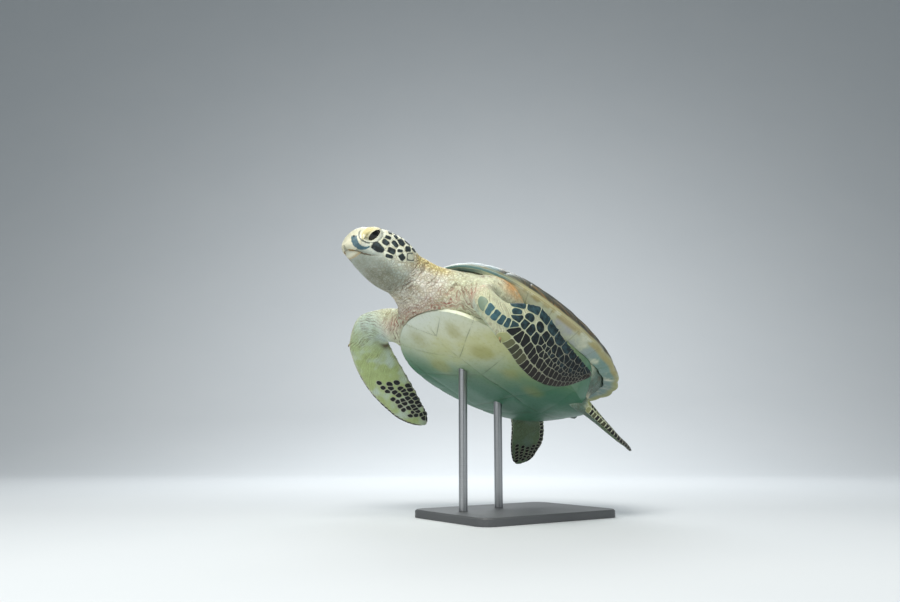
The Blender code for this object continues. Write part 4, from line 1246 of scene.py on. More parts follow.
def scute_plan(points, u, th):
    """Distance to the seams of the carapace, and each point's offset from its own plate's growth centre.

    Five vertebrals with corners, four costals a side slanting back, twelve marginals a side.
    """
    x, y = points[..., 0], points[..., 1]
    phase = np.interp(x, VERTEBRAL_JOINTS, np.arange(6.0))
    border = np.abs(y) - (0.085 + 0.045 * triangle(phase))
    slant = 0.22 * np.maximum(np.abs(y) - 0.1, 0.0)
    costal = x[..., None] - COSTAL_SEAMS + slant[..., None]
    number = (costal < 0.0).sum(-1)
    to_margin = (u - MARGINAL_SHARE) * 0.42
    on_margin, middle = u > MARGINAL_SHARE, border < 0.0
    gap = np.abs(to_margin)
    for where, seam in ((on_margin, marginal_gap(th)), (~on_margin, np.abs(border)),
                        (~on_margin & middle, np.abs(phase - np.round(phase)) * 0.175),
                        (~on_margin & ~middle, np.abs(costal).min(-1))):
        gap = np.minimum(gap, np.where(where, seam, AWAY))
    vertebral_centre = np.interp(np.floor(phase) + 0.34, np.arange(6.0), VERTEBRAL_JOINTS)
    here = np.clip(np.floor(marginal_phase(th)), 0, MARGINALS_PER_SIDE - 1)
    middle_angle = np.radians((here + 0.85) * 180.0 / MARGINALS_PER_SIDE)
    edge = rim(middle_angle * np.where(np.sin(th) < 0.0, -1.0, 1.0))
    centre_x = np.where(on_margin, edge[..., 0], np.where(middle, vertebral_centre, COSTAL_CENTRES[number]))
    centre_y = np.where(on_margin, edge[..., 1], np.where(middle, 0.0, np.sign(y) * 0.165))
    plate = np.where(on_margin, 20.0 + here, np.where(middle, np.floor(phase), 8.0 + number))
    return gap / MM, x - centre_x, y - centre_y, plate + np.where(y > 0, 0.5, 0.0)


def random_of(number):
    """A repeatable value from 0 to 1 for each plate number: the far digits of a sine."""
    value = np.sin(number * 12.9898) * 43758.5453
    return value - np.floor(value)


def make_carapace(look):
    """Upper shell: rings to the rim, round it, under it and up inside; its plates swell between cut seams."""
    spokes = 480
    th = turns(spokes)
    outer_u = np.concatenate((np.linspace(0.02, 0.8, 92)[:-1], np.linspace(0.8, 1.0, 46)))
    outer = np.array([dome(u, th) for u in outer_u])
    u = outer_u[:, None] * np.ones(spokes)
    gap, dx, dy, plate = scute_plan(outer, u, th[None] * np.ones((len(outer_u), 1)))
    swell = 1.0 * MM * ramp(gap, 0.0, 16.0) + 0.5 * MM * ramp(gap, 0.0, 4.0)
    groove = 1.1 * MM * bump(gap, 0.0, 1.3)
    keel = 1.8 * MM * bump(outer[..., 1], 0.0, 0.012) * ramp(-u, -0.8, -0.6)
    grain = 0.25 * MM * noise(outer, 0.016, 21) + 0.35 * MM * noise(outer, 0.06, 22)
    lift = (swell - groove + keel + grain) * ramp(1 - u, 0.0, 0.06) - 1.0 * MM * ramp(u, 0.9, 1.0)
    up = unit(np.stack((outer[..., 0] * 0.3, outer[..., 1] * 0.3, np.full_like(u, 0.35)), -1))
    outer = outer + up * lift[..., None]
    edge = rim(th)
    fine = np.linspace(0.0, 1.0, 7)[1:-1, None, None]
    low = edge * LIP_START
    low[:, 2] = edge[:, 2] - RIM_THICKNESS * 0.8
    bulge = np.sin(fine * pi) * unit(edge * np.array((1.0, 1.0, 0.0))) * 1.2 * MM
    turn_down = outer[-1] * (1 - fine) + low * fine + bulge
    inwards = ((LIP_START - np.linspace(LIP_START, LIP_SHARE, 34)) / (LIP_START - LIP_SHARE))[:, None]
    under = np.array([lip(th, LIP_START + (lip_reach(th) - LIP_START) * k) for k in inwards[:, 0]])
    under[..., 2] += 0.2 * RIM_THICKNESS * (1 - inwards)
    all_round = th * np.ones_like(inwards)
    _, under_dx, under_dy, under_plate = scute_plan(under, np.full(under.shape[:2], 0.95), all_round)
    under_gap = marginal_gap(th) / MM * np.ones_like(inwards)
    under_swell = 0.5 * MM * ramp(under_gap, 0.0, 7.0) * np.sin(np.clip(inwards, 0, 1) * pi) ** 0.5
    under_groove = 0.4 * MM * bump(under_gap, 0.0, 1.2) * ramp(inwards, 0.02, 0.15)
    under[..., 2] -= under_swell - under_groove
    wall = dome(DOME_WALL_SHARE, th, DOME_THICKNESS)
    climb = np.linspace(0.0, 1.0, 6)[1:, None, None]
    up_wall = under[-1] * (1 - climb) + wall * climb
    inner = np.array([dome(k, th, DOME_THICKNESS) for k in (0.66, 0.5, 0.34, 0.18, 0.06)])
    grid = np.concatenate((outer, turn_down, under, up_wall, inner))
    poles = [(DOME_CENTRE, 0.0, DOME_HEIGHT - depth) for depth in (0.0, DOME_THICKNESS)]
    points = np.concatenate((grid.reshape(-1, 3), poles))

    def stack(top, middle, below, rest):
        """A note for every ring: dome, edge, underside, inside; with one value for each pole."""
        counts = (len(outer), len(turn_down), len(under), len(up_wall) + len(inner))
        parts = [value * np.ones((rows, spokes)) for value, rows in zip((top, middle, below, rest), counts)]
        return np.concatenate([part.reshape(-1) for part in parts] + [np.full(2, top.mean())])

    own = random_of(plate)
    offset = (stack(dx, dx[-1], under_dx, 0.1), stack(dy, dy[-1], under_dy, 0.1),
              stack(own, own[-1], random_of(under_plate), 0.5))
    notes = {"seam": stack(gap, gap[-1] + 3.0, under_gap, 20.0),
             "under": stack(np.zeros_like(u), 0.5, 1.0, 1.0),
             "inwards": stack(-(1 - u) * 4.0, 0.0, inwards, 1.0),
             "offset": np.stack(offset, -1),
             "place": points}
    return closed_piece("carapace_dressed", points, ring_faces(len(grid), spokes, True, True), look, notes)


def plastron_seam_gap(x, y):
    """Distance to the nearest seam of the plastron: its middle line, five pairs, and the bridge's plates."""
    wide = np.abs(y)
    gap = np.where(x < 0.4, np.abs(y + 0.004 * np.sin(x * 26.0)), AWAY)
    for start, slope in ((0.345, 0.7), (0.215, 0.6), (0.09, 0.33), (-0.085, -0.06), (-0.246, 0.37)):
        here = np.abs(x - start - slope * wide) / np.hypot(1.0, slope)
        gap = np.minimum(gap, np.where(wide < PLASTRON_HALF_WIDTH * 0.82, here, AWAY))
    row, plate = PLASTRON_HALF_WIDTH * 0.83, (x + 0.16) / BRIDGE_PLATE
    on_bridge = (x > -0.16) & (x < 0.27)
    gap = np.minimum(gap, np.where(on_bridge, np.abs(wide - row), AWAY))
    cross = np.abs(plate - np.round(plate)) * BRIDGE_PLATE
    return np.minimum(gap, np.where(on_bridge & (wide > row), cross, AWAY))


def make_plastron(look):
    """Lower shell: inner bowl, over the bridge's edge, down the flank and in to the middle of the belly."""
    spokes = 420
    th = turns(spokes)
    share = bridge_share(th)
    reach = np.concatenate((np.linspace(1.0, 0.78, 40)[1:], np.linspace(0.78, 0.02, 88)[1:]))
    thick = PLASTRON_THICKNESS
    outer = np.array([side(th, 1 - share * (1 - k), 0.0) for k in np.linspace(0.0, 1.0, 30)]
                     + [belly(th, r, 0.0) for r in reach])
    inner = np.array([belly(th, r, thick) for r in (0.15, 0.35, 0.55, 0.7, 0.82, 0.9, 0.95)]
                     + [side(th, 1 - share * (1 - k), thick) for k in np.linspace(1.0, 0.0, 10)])
    x, y, z = np.moveaxis(outer, -1, 0)
    gap = plastron_seam_gap(x, y) / MM
    groove = 0.45 * MM * bump(gap, 0.0, 1.2)
    swell = 0.7 * MM * ramp(gap, 0.0, 14.0) + 0.4 * MM * noise(outer, 0.05, 31)
    ridge = 1.6 * MM * bump(np.abs(y), 0.135, 0.05)
    rise = np.clip(np.arange(len(outer)) / 3.0, 0, 1)[:, None]
    aside, down = y * 0.5 * ramp(z, -0.21, -0.15), -0.06 * (1 - ramp(z, -0.17, -0.13))
    out = unit(np.stack((x * 0.2, aside, down), -1))
    outer = outer + out * ((swell - groove + ridge - 1.2 * MM) * rise)[..., None]
    grid = np.concatenate((inner, outer))
    poles = [(PLASTRON_MIDDLE, 0.0, -PLASTRON_DEPTH + depth) for depth in (thick, 0.0)]
    points = np.concatenate((grid.reshape(-1, 3), poles))
    gaps = np.concatenate((np.full(inner.size // 3, 30.0), gap.ravel(), (30.0, 1.0)))
    return closed_piece("plastron_dressed", points, ring_faces(len(grid), spokes, True, True), look,
                        {"seam": gaps, "place": points})


def make_claw(name, blade, along, look):
    """A small hooked claw: round sections shrinking along a bend from the leading edge towards the tip."""
    rings, spokes = 22, 20
    t = np.linspace(0.0, 1.0, rings)
    s = np.array(along * blade.length)
    root = blade.point(s, np.array(0.985), 1.0)
    out = unit(blade.read(blade.half_chord, s))
    ahead = unit(blade.point(s + 0.02, np.array(0.985), 1.0) - root)
    side_of = np.cross(out, ahead)
    length, thick = 11.0 * MM, 3.1 * MM
    path = root - out * 2.0 * MM + length * (np.sin(t * 1.25)[:, None] * out * 0.75
                                                     + (1 - np.cos(t * 1.25))[:, None] * ahead)
    heading = unit(np.gradient(path, axis=0))
    across = unit(np.cross(heading, side_of))
    size = thick * (1 - t ** 1.6) * 0.96 + 0.1 * MM
    angle = turns(spokes)[None, :, None]
    grid = (path[:, None] + np.cos(angle) * across[:, None] * size[:, None, None]
            + np.sin(angle) * side_of * size[:, None, None] * 0.8)
    points = np.concatenate((grid.reshape(-1, 3), path[:1], path[-1:]))
    note = np.concatenate((np.repeat(t, spokes), (0.0, 1.0)))
    return closed_piece(name, points, ring_faces(rings, spokes, True, True), look, {"along": note})


# ---- shader arithmetic
def operator(operation):
    """A method that adds one Math node, and its reflected form."""
    def plain(self, other):
        return self.math(operation, other)

    def reflected(self, other):
        return self.shade.math(operation, other, self)

    return plain, reflected


class Value:
    """One number of a shader: ordinary arithmetic on it adds Math nodes."""

    def __init__(self, shade, socket):
        self.shade = shade
        self.socket = socket

    def math(self, operation, *others, clamp=False):
        return self.shade.math(operation, self, *others, clamp=clamp)

    __add__, __radd__ = operator("ADD")
    __sub__, __rsub__ = operator("SUBTRACT")
    __mul__, __rmul__ = operator("MULTIPLY")
    __truediv__, __rtruediv__ = operator("DIVIDE")
    __pow__, __rpow__ = operator("POWER")

    def sine(self):
        return self.math("SINE")

    def absolute(self):
        return self.math("ABSOLUTE")

    def clip(self):
        return self.math("ADD", 0.0, clamp=True)

    def ramp(self, low, high):
        """0 below low, 1 above high, smooth between; low above high turns it round."""
        settings = {"interpolation_type": "SMOOTHSTEP"}
        if low > high:
            return 1 - self.ramp(high, low)
        sockets = {"Value": self, "From Min": low, "From Max": high}
        return Value(self.shade, self.shade.node("ShaderNodeMapRange", settings, sockets).outputs["Result"])


class Shade:
    """One procedural material: a Principled shader and the nodes that feed it."""

    def __init__(self, name, roughness, **fixed):
        self.material = bpy.data.materials.new(name)
        self.material.use_nodes = True
        self.tree = self.material.node_tree
        self.surface = self.tree.nodes["Principled BSDF"]
        self.surface.inputs["Roughness"].default_value = roughness
        for key, value in fixed.items():
            self.surface.inputs[key.replace("_", " ").title().replace("Ior", "IOR")].default_value = value

    def node(self, kind, settings, sockets):
        """Add a node: its type, its settings, and a value or link for each named or numbered socket."""
        made = self.tree.nodes.new(kind)
        for key, value in settings.items():
            setattr(made, key, value)
        for key, value in sockets.items():
            socket = made.inputs[key]
            if isinstance(value, Value):
                self.tree.links.new(value.socket, socket)
            elif isinstance(value, bpy.types.NodeSocket):
                self.tree.links.new(value, socket)
            elif socket.type == "RGBA":
                socket.default_value = (*[float(k) for k in value], 1.0)
            elif hasattr(value, "__len__"):
                socket.default_value = [float(k) for k in value]
            else:
                socket.default_value = value
        return made

    def math(self, operation, *values, clamp=False):
        settings = {"operation": operation, "use_clamp": clamp}
        return Value(self, self.node("ShaderNodeMath", settings, dict(enumerate(values))).outputs[0])

    def note(self, name):
        """A number kept at the mesh's points."""
        return Value(self, self.node("ShaderNodeAttribute", {"attribute_name": name}, {}).outputs["Fac"])

    def vector(self, name):
        """Three numbers kept at the mesh's points."""
        return self.node("ShaderNodeAttribute", {"attribute_name": name}, {}).outputs["Vector"]

    def place(self):
        """Metres in the frame's own axes."""
        return self.node("ShaderNodeTexCoord", {}, {}).outputs["Object"]

    def spot(self):
        """Millimetres back, up and out over the nearer eye."""
        x, y, z = self.parts(self.vector("place"))
        gap = self.vector_math("SUBTRACT", self.join(x, y.absolute(), z), EYE_MIDDLE)
        return [Value(self, self.vector_math("DOT_PRODUCT", gap, axis / MM, output="Value"))
                for axis in (EYE_BACK, EYE_UP, EYE_OUT)]

    def parts(self, vector):
        """The three numbers of a vector."""
        made = self.node("ShaderNodeSeparateXYZ", {}, {0: vector})
        return [Value(self, socket) for socket in made.outputs]

    def join(self, x, y, z):
        """Three numbers as a vector."""
        return self.node("ShaderNodeCombineXYZ", {}, {0: x, 1: y, 2: z}).outputs[0]

    def length(self, x, y):
        """Square root of the sum of two squares."""
        return (x * x + y * y) ** 0.5

    def vector_math(self, operation, *values, output="Vector"):
        """One Vector Math node."""
        made = self.node("ShaderNodeVectorMath", {"operation": operation}, dict(enumerate(values)))
        return made.outputs[output]

    def texture(self, kind, output, vector, scale, settings=(), **sockets):
        """One output of a texture node at a scale."""
        sockets = {"Vector": vector, "Scale": scale, **sockets}
        return self.node("ShaderNodeTex" + kind, dict(settings), sockets).outputs[output]

    def cloud(self, vector, scale, detail=3.0, roughness=0.55):
        """Fractal noise from 0 to 1 about a half."""
        return Value(self, self.texture("Noise", "Fac", vector, scale, Detail=detail, Roughness=roughness))

    def cells(self, vector, scale):
        """Distance to the edge of scattered cells."""
        settings = {"feature": "DISTANCE_TO_EDGE"}
        return Value(self, self.texture("Voronoi", "Distance", vector, scale, settings))

    def cell_tone(self, vector, scale):
        """A different number from 0 to 1 for each scattered cell."""
        return self.parts(self.texture("Voronoi", "Color", vector, scale))[0]

    def mix(self, base, colour, share, blend="MIX"):
        """Lay a colour over another by a share."""
        settings = {"data_type": "RGBA", "blend_type": blend}
        return self.node("ShaderNodeMix", settings, {0: share, 6: base, 7: colour}).outputs[2]

    def layers(self, base, laid):
        """Lay colours over a base in turn, each with its share and, for a stain, its way of mixing."""
        for layer in laid:
            base = self.mix(base, *layer)
        return base

    def bump(self, height, depth):
        """Bump from a height of 0 to 1 and its depth in millimetres."""
        return self.node("ShaderNodeBump", {}, {"Height": height, "Distance": depth * 0.001}).outputs[0]

    def wear(self, colour, roughness, normal=None):
        """Link what varies over the surface and give back the material."""
        for key, value in (("Base Color", colour), ("Roughness", roughness.socket), ("Normal", normal)):
            if value is not None:
                self.tree.links.new(value, self.surface.inputs[key])
        return self.material


STAIN = "MULTIPLY"


# ---- materials
def face_marks(m, colour):
    """Dark crescent from nostril to under the eye, the nostril's pit, the lids' groove and the mouth's line.

    The crescent is an arc about the eye: its radius and half width are read from its own angle.
    """
    ragged = (m.cloud(m.place(), 210, 4) - 0.5) * 2
    back, up, out = m.spot()
    over_eye, beside_eye = out.absolute().ramp(24, 20), out.absolute().ramp(34, 30)
    t = (up.math("ARCTAN2", back) * (180 / pi) + 140) / 30
    middle = 34.3 - 3.3 * t - 3.9 * t * t
    half = (5.2 - 2.6 * t).math("MAXIMUM", 1).math("MINIMUM", 6)
    off = (m.length(back, up) - middle).absolute() + ragged * 1.6
    crescent = (half - off).ramp(-0.9, 0.9) * t.ramp(-1.3, -1.05) * t.ramp(1.7, 1.4)
    crescent = crescent * up.ramp(1, -1) * beside_eye
    nostril = m.length(back + 34, up + 3.5).ramp(2.6, 1.2) * beside_eye
    c, s = np.cos(radians(LID_OVAL[4])), np.sin(radians(LID_OVAL[4]))
    round_lids = m.length((back * c + up * s) / LID_OVAL[2], (up * c - back * s) / LID_OVAL[3]) - 1.03
    ring = (round_lids + ragged * 0.05).absolute().ramp(0.1, 0.03) * over_eye
    x, _, z = m.parts(m.vector("place"))
    gone = x - MOUTH_CORNER[0]
    ahead = gone.ramp(-0.0005, 0.0005)
    height = MOUTH_CORNER[1] + gone * (ahead * (MOUTH_SLOPE - CREASE_SLOPE) + CREASE_SLOPE)
    line = ((z - height).absolute() / MM + ragged).ramp(1.5, 0.4) * x.ramp(0.716, 0.735)
    return m.layers(colour, (
        (paint(52, 92, 106), crescent * (0.97 - 0.2 * ragged.absolute())),
        (paint(30, 34, 34), nostril * 0.9),
        (paint(70, 82, 80), ring * 0.8 * (up + back * 0.4).ramp(3, -6)),
        (paint(96, 84, 62), line * (0.55 + 0.4 * ahead))))


def skin_material():
    """Soft leathery skin: pebbled, wrinkled in the folds, its ground colour kept at the points."""
    m = Shade("turtle_skin", 0.5, specular_ior_level=0.4, subsurface_weight=0.04, subsurface_scale=0.01)
    at = m.place()
    drift = m.vector_math("MULTIPLY", m.texture("Noise", "Color", at, 90), (0.0022, 0.0022, 0.0022))
    wobble = m.vector_math("ADD", at, drift)
    pebble, fold, fold_share = m.note("pebble"), m.note("fold"), m.note("fold_share")
    stone = m.cells(wobble, 165).ramp(0, 0.26)
    tone = m.cell_tone(wobble, 165)
    fine = m.cells(wobble, 640).ramp(0, 0.32)
    valley = (1 - (fold * pi).sine().absolute()) ** 2.4 * fold_share
    line = m.cloud(m.join(fold * 2.4, m.cloud(at, 40) * 2, 0), 1, 5, 0.72)
    strands = line.ramp(0.46, 0.6) * fold_share
    patch = m.cloud(at, 46, 4)
    colour = m.vector("tint")
    red, _, blue = m.parts(colour)
    rich = ((red - blue) * 3.2).clip()
    colour = m.layers(colour, (
        ((0.44, 0.37, 0.27), (1 - stone) * pebble * (0.35 + 0.5 * rich), STAIN),
        ((0.82, 0.77, 0.66), tone.ramp(0.45, 0.95) * pebble * 0.6, STAIN),
        ((0.86, 0.82, 0.74), (1 - fine) * 0.4, STAIN),
        # the brown in the folds' valleys is painted shade in the creases
        (paint(112, 86, 64), valley * 0.72),
        (paint(200, 128, 112), (valley + strands * 0.6).clip() * m.note("flush")),
        (paint(132, 118, 104), strands * 0.7, STAIN),
        ((0.8, 0.8, 0.74), patch.ramp(0.5, 0.72) * 0.5, STAIN)))
    colour = face_marks(m, colour)
    height = stone * pebble * 0.9 + fine * 0.25 + line * fold_share * 0.7 - valley * 0.5
    return m.wear(colour, 0.44 + 0.22 * patch + valley * 0.12, m.bump(height, 0.8))


def lid_material():
    """Heavy cream lids: finely wrinkled in yellow, dark along the slit, blue-grey in the groove."""
    m = Shade("eyelid_skin", 0.42, specular_ior_level=0.4)
    at, lid = m.place(), m.note("lid")
    back, up, _ = m.spot()
    soft, fine = m.cloud(at, 160, 4), m.cloud(at, 700, 4, 0.65)
    above = (up - 0.6 * back + soft * 4).ramp(-4, 8)
    colour = m.mix(paint(196, 200, 186), paint(214, 204, 150), above)
    lines = m.cloud(m.join(lid * 22, m.cloud(at, 120) * 2, 0), 1, 4, 0.7)
    colour = m.layers(colour, (
        (paint(178, 142, 84), lines.ramp(0.5, 0.66) * (0.35 + 0.45 * above)),
        (paint(232, 226, 196), lid.ramp(0.02, 0.07) * lid.ramp(0.2, 0.11) * 0.8),
        (paint(20, 20, 18), lid.ramp(0.05, 0.02))))
    groove = lid.ramp(0.8, 0.95)
    colour = m.layers(colour, (
        (paint(150, 142, 104), groove * 0.7),
        (paint(92, 112, 116), groove * up.ramp(2, -4) * 0.85),
        (paint(66, 74, 72), groove * back.ramp(-12, -19) * 0.75)))
    stone = m.cells(at, 620).ramp(0, 0.3)
    return m.wear(colour, 0.4 + 0.2 * soft, m.bump(stone * 0.35 + lines * 0.6 + fine * 0.2, 0.6))


def eye_material():
    """Dark wet eye: near-black pupil, deep brown iris."""
    m = Shade("eye_dark", 0.12, coat_weight=0.25, coat_roughness=0.08, specular_ior_level=0.35)
    off = m.note("off_middle")
    streak = m.cloud(m.place(), 900, 3)
    iris = m.mix(paint(22, 20, 16), paint(40, 34, 26), streak.ramp(0.4, 0.65))
    colour = m.mix(paint(6, 7, 8), iris, off.ramp(8, 9.5))
    return m.wear(colour, 0.09 + 0.06 * streak)


def beak_material(name, upper):
    """Horn: cream sheath, streaked, yellow-brown along the biting edge."""
    m = Shade(name, 0.38, specular_ior_level=0.5, coat_weight=0.15, coat_roughness=0.3)
    at, over_line = m.place(), m.note("over_line")
    x, y, z = m.parts(at)
    forward = m.parts(m.vector("place"))[0]
    streak = m.cloud(m.join(x * 260, y * 260, z * 60), 1, 4, 0.6)
    soft = m.cloud(at, 70, 3)
    colour = m.mix(paint(222, 218, 192), paint(196, 196, 170), soft.ramp(0.42, 0.62) * 0.6)
    edge_share = over_line.ramp(2.2, 0.4) * 0.75
    if upper:
        colour = face_marks(m, colour)
    else:
        colour = m.mix(colour, paint(176, 182, 168), forward.ramp(0.79, 0.806) * 0.7)
        edge_share = (edge_share * 0.5 + forward.ramp(0.79, 0.78) * 0.8).clip()
    colour = m.mix(colour, paint(158, 124, 58), edge_share * (0.45 + 0.5 * streak))
    tip = forward.ramp(0.868, 0.89) * over_line.ramp(5, 1.5)
    colour = m.layers(colour, (
        (paint(72, 60, 42), tip * 0.85),
        ((0.74, 0.7, 0.6), streak.ramp(0.55, 0.75) * 0.6, STAIN)))
    return m.wear(colour, 0.34 + 0.2 * streak, m.bump(streak * 0.5 + soft * 0.5, 0.35))


def shield_material():
    """Shields of the head: dark glossy hearts of their own shape in broad cream borders."""
    m = Shade("head_shields", 0.42, specular_ior_level=0.45)
    at = m.place()
    along, over_it, _ = m.parts(m.vector("heart"))
    soft, fine = m.cloud(at, 130, 4), m.cloud(at, 620, 4, 0.65)
    measure = (along.absolute() ** 3.4 + over_it.absolute() ** 3.4) ** 0.294 * 0.94 + (soft - 0.5) * 0.7
    core = m.mix(paint(22, 30, 32), paint(48, 64, 68), soft.ramp(0.42, 0.66))
    core = m.mix(core, paint(58, 50, 38), fine.ramp(0.5, 0.7) * 0.4)
    border = m.mix(paint(218, 222, 204), paint(196, 192, 150), soft.ramp(0.45, 0.66) * 0.55)
    border = m.layers(border, (
        (paint(126, 126, 104), measure.ramp(1.35, 1.05) * 0.45),
        (paint(178, 170, 132), m.note("margin").ramp(0.8, 0.1) * 0.5)))
    pale = m.mix(border, core, measure.ramp(1.25, 1.05) * measure.ramp(0.65, 0.85) * 0.8)
    dark = m.mix(border, core, measure.ramp(1.1, 0.94))
    colour = m.mix(pale, dark, m.note("tone").ramp(0.55, 0.75))
    return m.wear(colour, 0.36 + 0.22 * fine, m.bump(fine * 0.5 + soft * 0.4, 0.35))


def scale_material(name, dark, brown, outline, tip_outline, pale):
    """Horny scales: dark hearts in thin pale outlines, greyer towards the tip; pale ones nearly plain."""
    m = Shade(name, 0.46, specular_ior_level=0.26)
    at = m.place()
    margin, tone, warm, rim_width = m.note("margin"), m.note("tone"), m.note("warm"), m.note("rim_width")
    soft, fine = m.cloud(at, 120, 4), m.cloud(at, 620, 4, 0.65)
    heart = (margin - rim_width + (soft - 0.5) * 0.7).ramp(-0.22, 0.3)
    core = m.mix(dark, brown, (warm * 0.9 + (soft - 0.5) * 0.9 * warm + 0.1 * soft).clip())
    core = m.mix(core, paint(74, 112, 120), ((soft - 0.5) * 1.2 - warm * 0.9).clip())
    edge_colour = m.mix(outline, tip_outline, m.note("along").ramp(0.45, 0.85))
    edge_colour = m.mix(edge_colour, paint(168, 160, 118), fine.ramp(0.45, 0.7) * 0.35)
    light = m.mix(pale, (0.72, 0.7, 0.58), (1 - margin.ramp(0, 0.9)) * 0.35, STAIN)
    light = m.mix(light, (0.86, 0.86, 0.78), soft.ramp(0.45, 0.7) * 0.6, STAIN)
    spotted = m.mix(edge_colour, core, heart)
    colour = m.mix(light, spotted, tone.ramp(0.3, 0.6))
    return m.wear(colour, 0.36 + 0.22 * fine, m.bump(fine * 0.5 + soft * 0.4, 0.35))


def carapace_material():
    """Dark olive-brown shell with amber streaks radiating in each plate; cream and ochre under the rim."""
    m = Shade("carapace_horn", 0.34, specular_ior_level=0.5, coat_weight=0.12, coat_roughness=0.25)
    at, seam, under, inwards = m.place(), m.note("seam"), m.note("under"), m.note("inwards")
    dx, dy, own = m.parts(m.vector("offset"))
    reach = m.length(dx, dy) + 0.0001
    ray = m.cloud(m.join(dx / reach * 5.5 + own * 30, dy / reach * 5.5, reach * 7), 1, 5, 0.62)
    soft, fine = m.cloud(at, 26, 4), m.cloud(at, 300, 4)
    top = m.mix(paint(40, 44, 32), paint(66, 62, 36), soft.ramp(0.35, 0.65))
    top = m.layers(top, (
        (paint(148, 110, 52), ray.ramp(0.5, 0.62) * 0.75),
        (paint(24, 28, 24), ray.ramp(0.42, 0.3) * 0.7),
        (paint(62, 92, 92), soft.ramp(0.48, 0.66) * 0.4),
        (paint(26, 26, 18), seam.ramp(2.2, 0.6) * 0.85)))
    x = m.parts(m.vector("place"))[0]
    front = x.ramp(0.24, 0.36)
    top = m.layers(top, (
        # painted reflection: teal on the front of the shell's top towards the rim
        (paint(74, 112, 114), front * inwards.ramp(-0.75, -0.2) * soft.ramp(0.28, 0.5) * 0.8),
        (paint(188, 184, 140), inwards.ramp(-0.1, -0.03) * 0.7 * (1 - front * 0.6))))
    pale = m.mix(paint(214, 216, 190), paint(196, 196, 196), soft.ramp(0.42, 0.6))
    # painted shade: teal-green under the rear of the rim
    pale = m.mix(pale, paint(84, 134, 122), x.ramp(0.1, -0.25) * soft.ramp(0.28, 0.52) * 0.85)
    border = inwards.ramp(0.36, 0.1) * soft.ramp(0.34, 0.52)
    pale = m.layers(pale, (
        (paint(176, 158, 84), border * 0.75),
        (paint(160, 164, 92), x.ramp(-0.3, -0.42) * inwards.ramp(0.6, 0.2) * 0.8),
        # painted shadow: dark teal under the front rim, over the neck
        (paint(58, 96, 104), x.ramp(0.355, 0.405) * inwards.ramp(0.1, 0.3) * 0.9),
        (paint(130, 128, 96), seam.ramp(1.4, 0.4) * 0.35),
        # painted light: teal on the front of the rim's edge and lip
        (paint(62, 122, 134), front * inwards.ramp(0.2, 0.04) * 0.9)))
    colour = m.mix(top, pale, under.ramp(0.2, 0.7))
    colour = m.mix(colour, (0.82, 0.8, 0.72), fine.ramp(0.5, 0.7) * 0.45, STAIN)
    return m.wear(colour, 0.3 + 0.2 * fine, m.bump(fine * 0.4 + ray * 0.5, 0.5))


# soft blotches of the belly: forward, left, size, share
BELLY_BLOTCHES = ((0.36, -0.1, 0.07, 0.45), (0.34, 0.105, 0.06, 0.5), (0.2, 0.135, 0.07, 0.55),
                  (0.06, 0.13, 0.07, 0.45), (-0.08, 0.12, 0.07, 0.35), (0.2, -0.13, 0.06, 0.4))


def plastron_material():
    """Ivory belly shell turning yellow-green, partly painted shade, with painted shade deepening to green on
    its lower side and rear; faint seams, soft olive blotches.
    """
    m = Shade("plastron_horn", 0.36, specular_ior_level=0.5, coat_weight=0.1, coat_roughness=0.3)
    at, seam = m.place(), m.note("seam")
    x, y, _ = m.parts(m.vector("place"))
    soft, fine = m.cloud(at, 11, 4), m.cloud(at, 140, 5, 0.6)
    colour = m.mix(paint(196, 198, 146), paint(208, 212, 184), soft.ramp(0.38, 0.64))
    colour = m.layers(colour, (
        (paint(216, 224, 212), x.ramp(0.34, 0.43) * 0.8),
        # the yellow-green over the rear is partly the shell's tint, partly painted shade
        (paint(160, 172, 112), x.ramp(0.25, 0.05) * 0.6)))
    # painted shade: deepening green towards the rear and the lower right side
    low = (y.absolute() * 0.15 - y * 0.65 - x + (soft - 0.5) * 0.16).ramp(-0.38, 0.1)
    colour = m.layers(colour, (
        (paint(74, 124, 88), low * 0.94),
        (paint(48, 106, 86), (low * 1.8 - 0.8).clip() * 0.7)))
    for forward, left, size, share in BELLY_BLOTCHES:
        away = m.length(x - forward, y - left) + (soft - 0.5) * 0.08
        colour = m.mix(colour, paint(150, 146, 64), away.ramp(size, size * 0.25) * share)
    faint = m.cloud(at, 18, 2).ramp(0.36, 0.6)
    colour = m.layers(colour, (
        (paint(72, 88, 66), seam.ramp(1.5, 0.4) * 0.62 * faint),
        ((0.84, 0.84, 0.72), seam.ramp(7, 2) * 0.35 * faint, STAIN),
        ((0.84, 0.83, 0.7), fine.ramp(0.48, 0.7) * 0.6, STAIN)))
    return m.wear(colour, 0.34 + 0.2 * fine, m.bump(fine * 0.6, 0.4))


def claw_material():
    """Amber horn, darker at its tip."""
    m = Shade("claw_horn", 0.35, specular_ior_level=0.5)
    along = m.note("along")
    grain = m.cloud(m.place(), 500, 3)
    colour = m.mix(paint(168, 146, 96), paint(78, 62, 42), (along + (grain - 0.5) * 0.4).ramp(0.25, 0.9))
    return m.wear(colour, 0.3 + 0.2 * grain, m.bump(grain, 0.2))


def steel_material():
    """Satin steel rod with fine rings of turning."""
    m = Shade("satin_steel", 0.3, metallic=1)
    x, y, z = m.parts(m.place())
    ring = m.cloud(m.join(x * 20, y * 20, z * 2600), 1, 3)
    colour = m.mix(paint(150, 152, 154), paint(186, 188, 190), ring)
    return m.wear(colour, 0.24 + 0.16 * ring, m.bump(ring, 0.02))


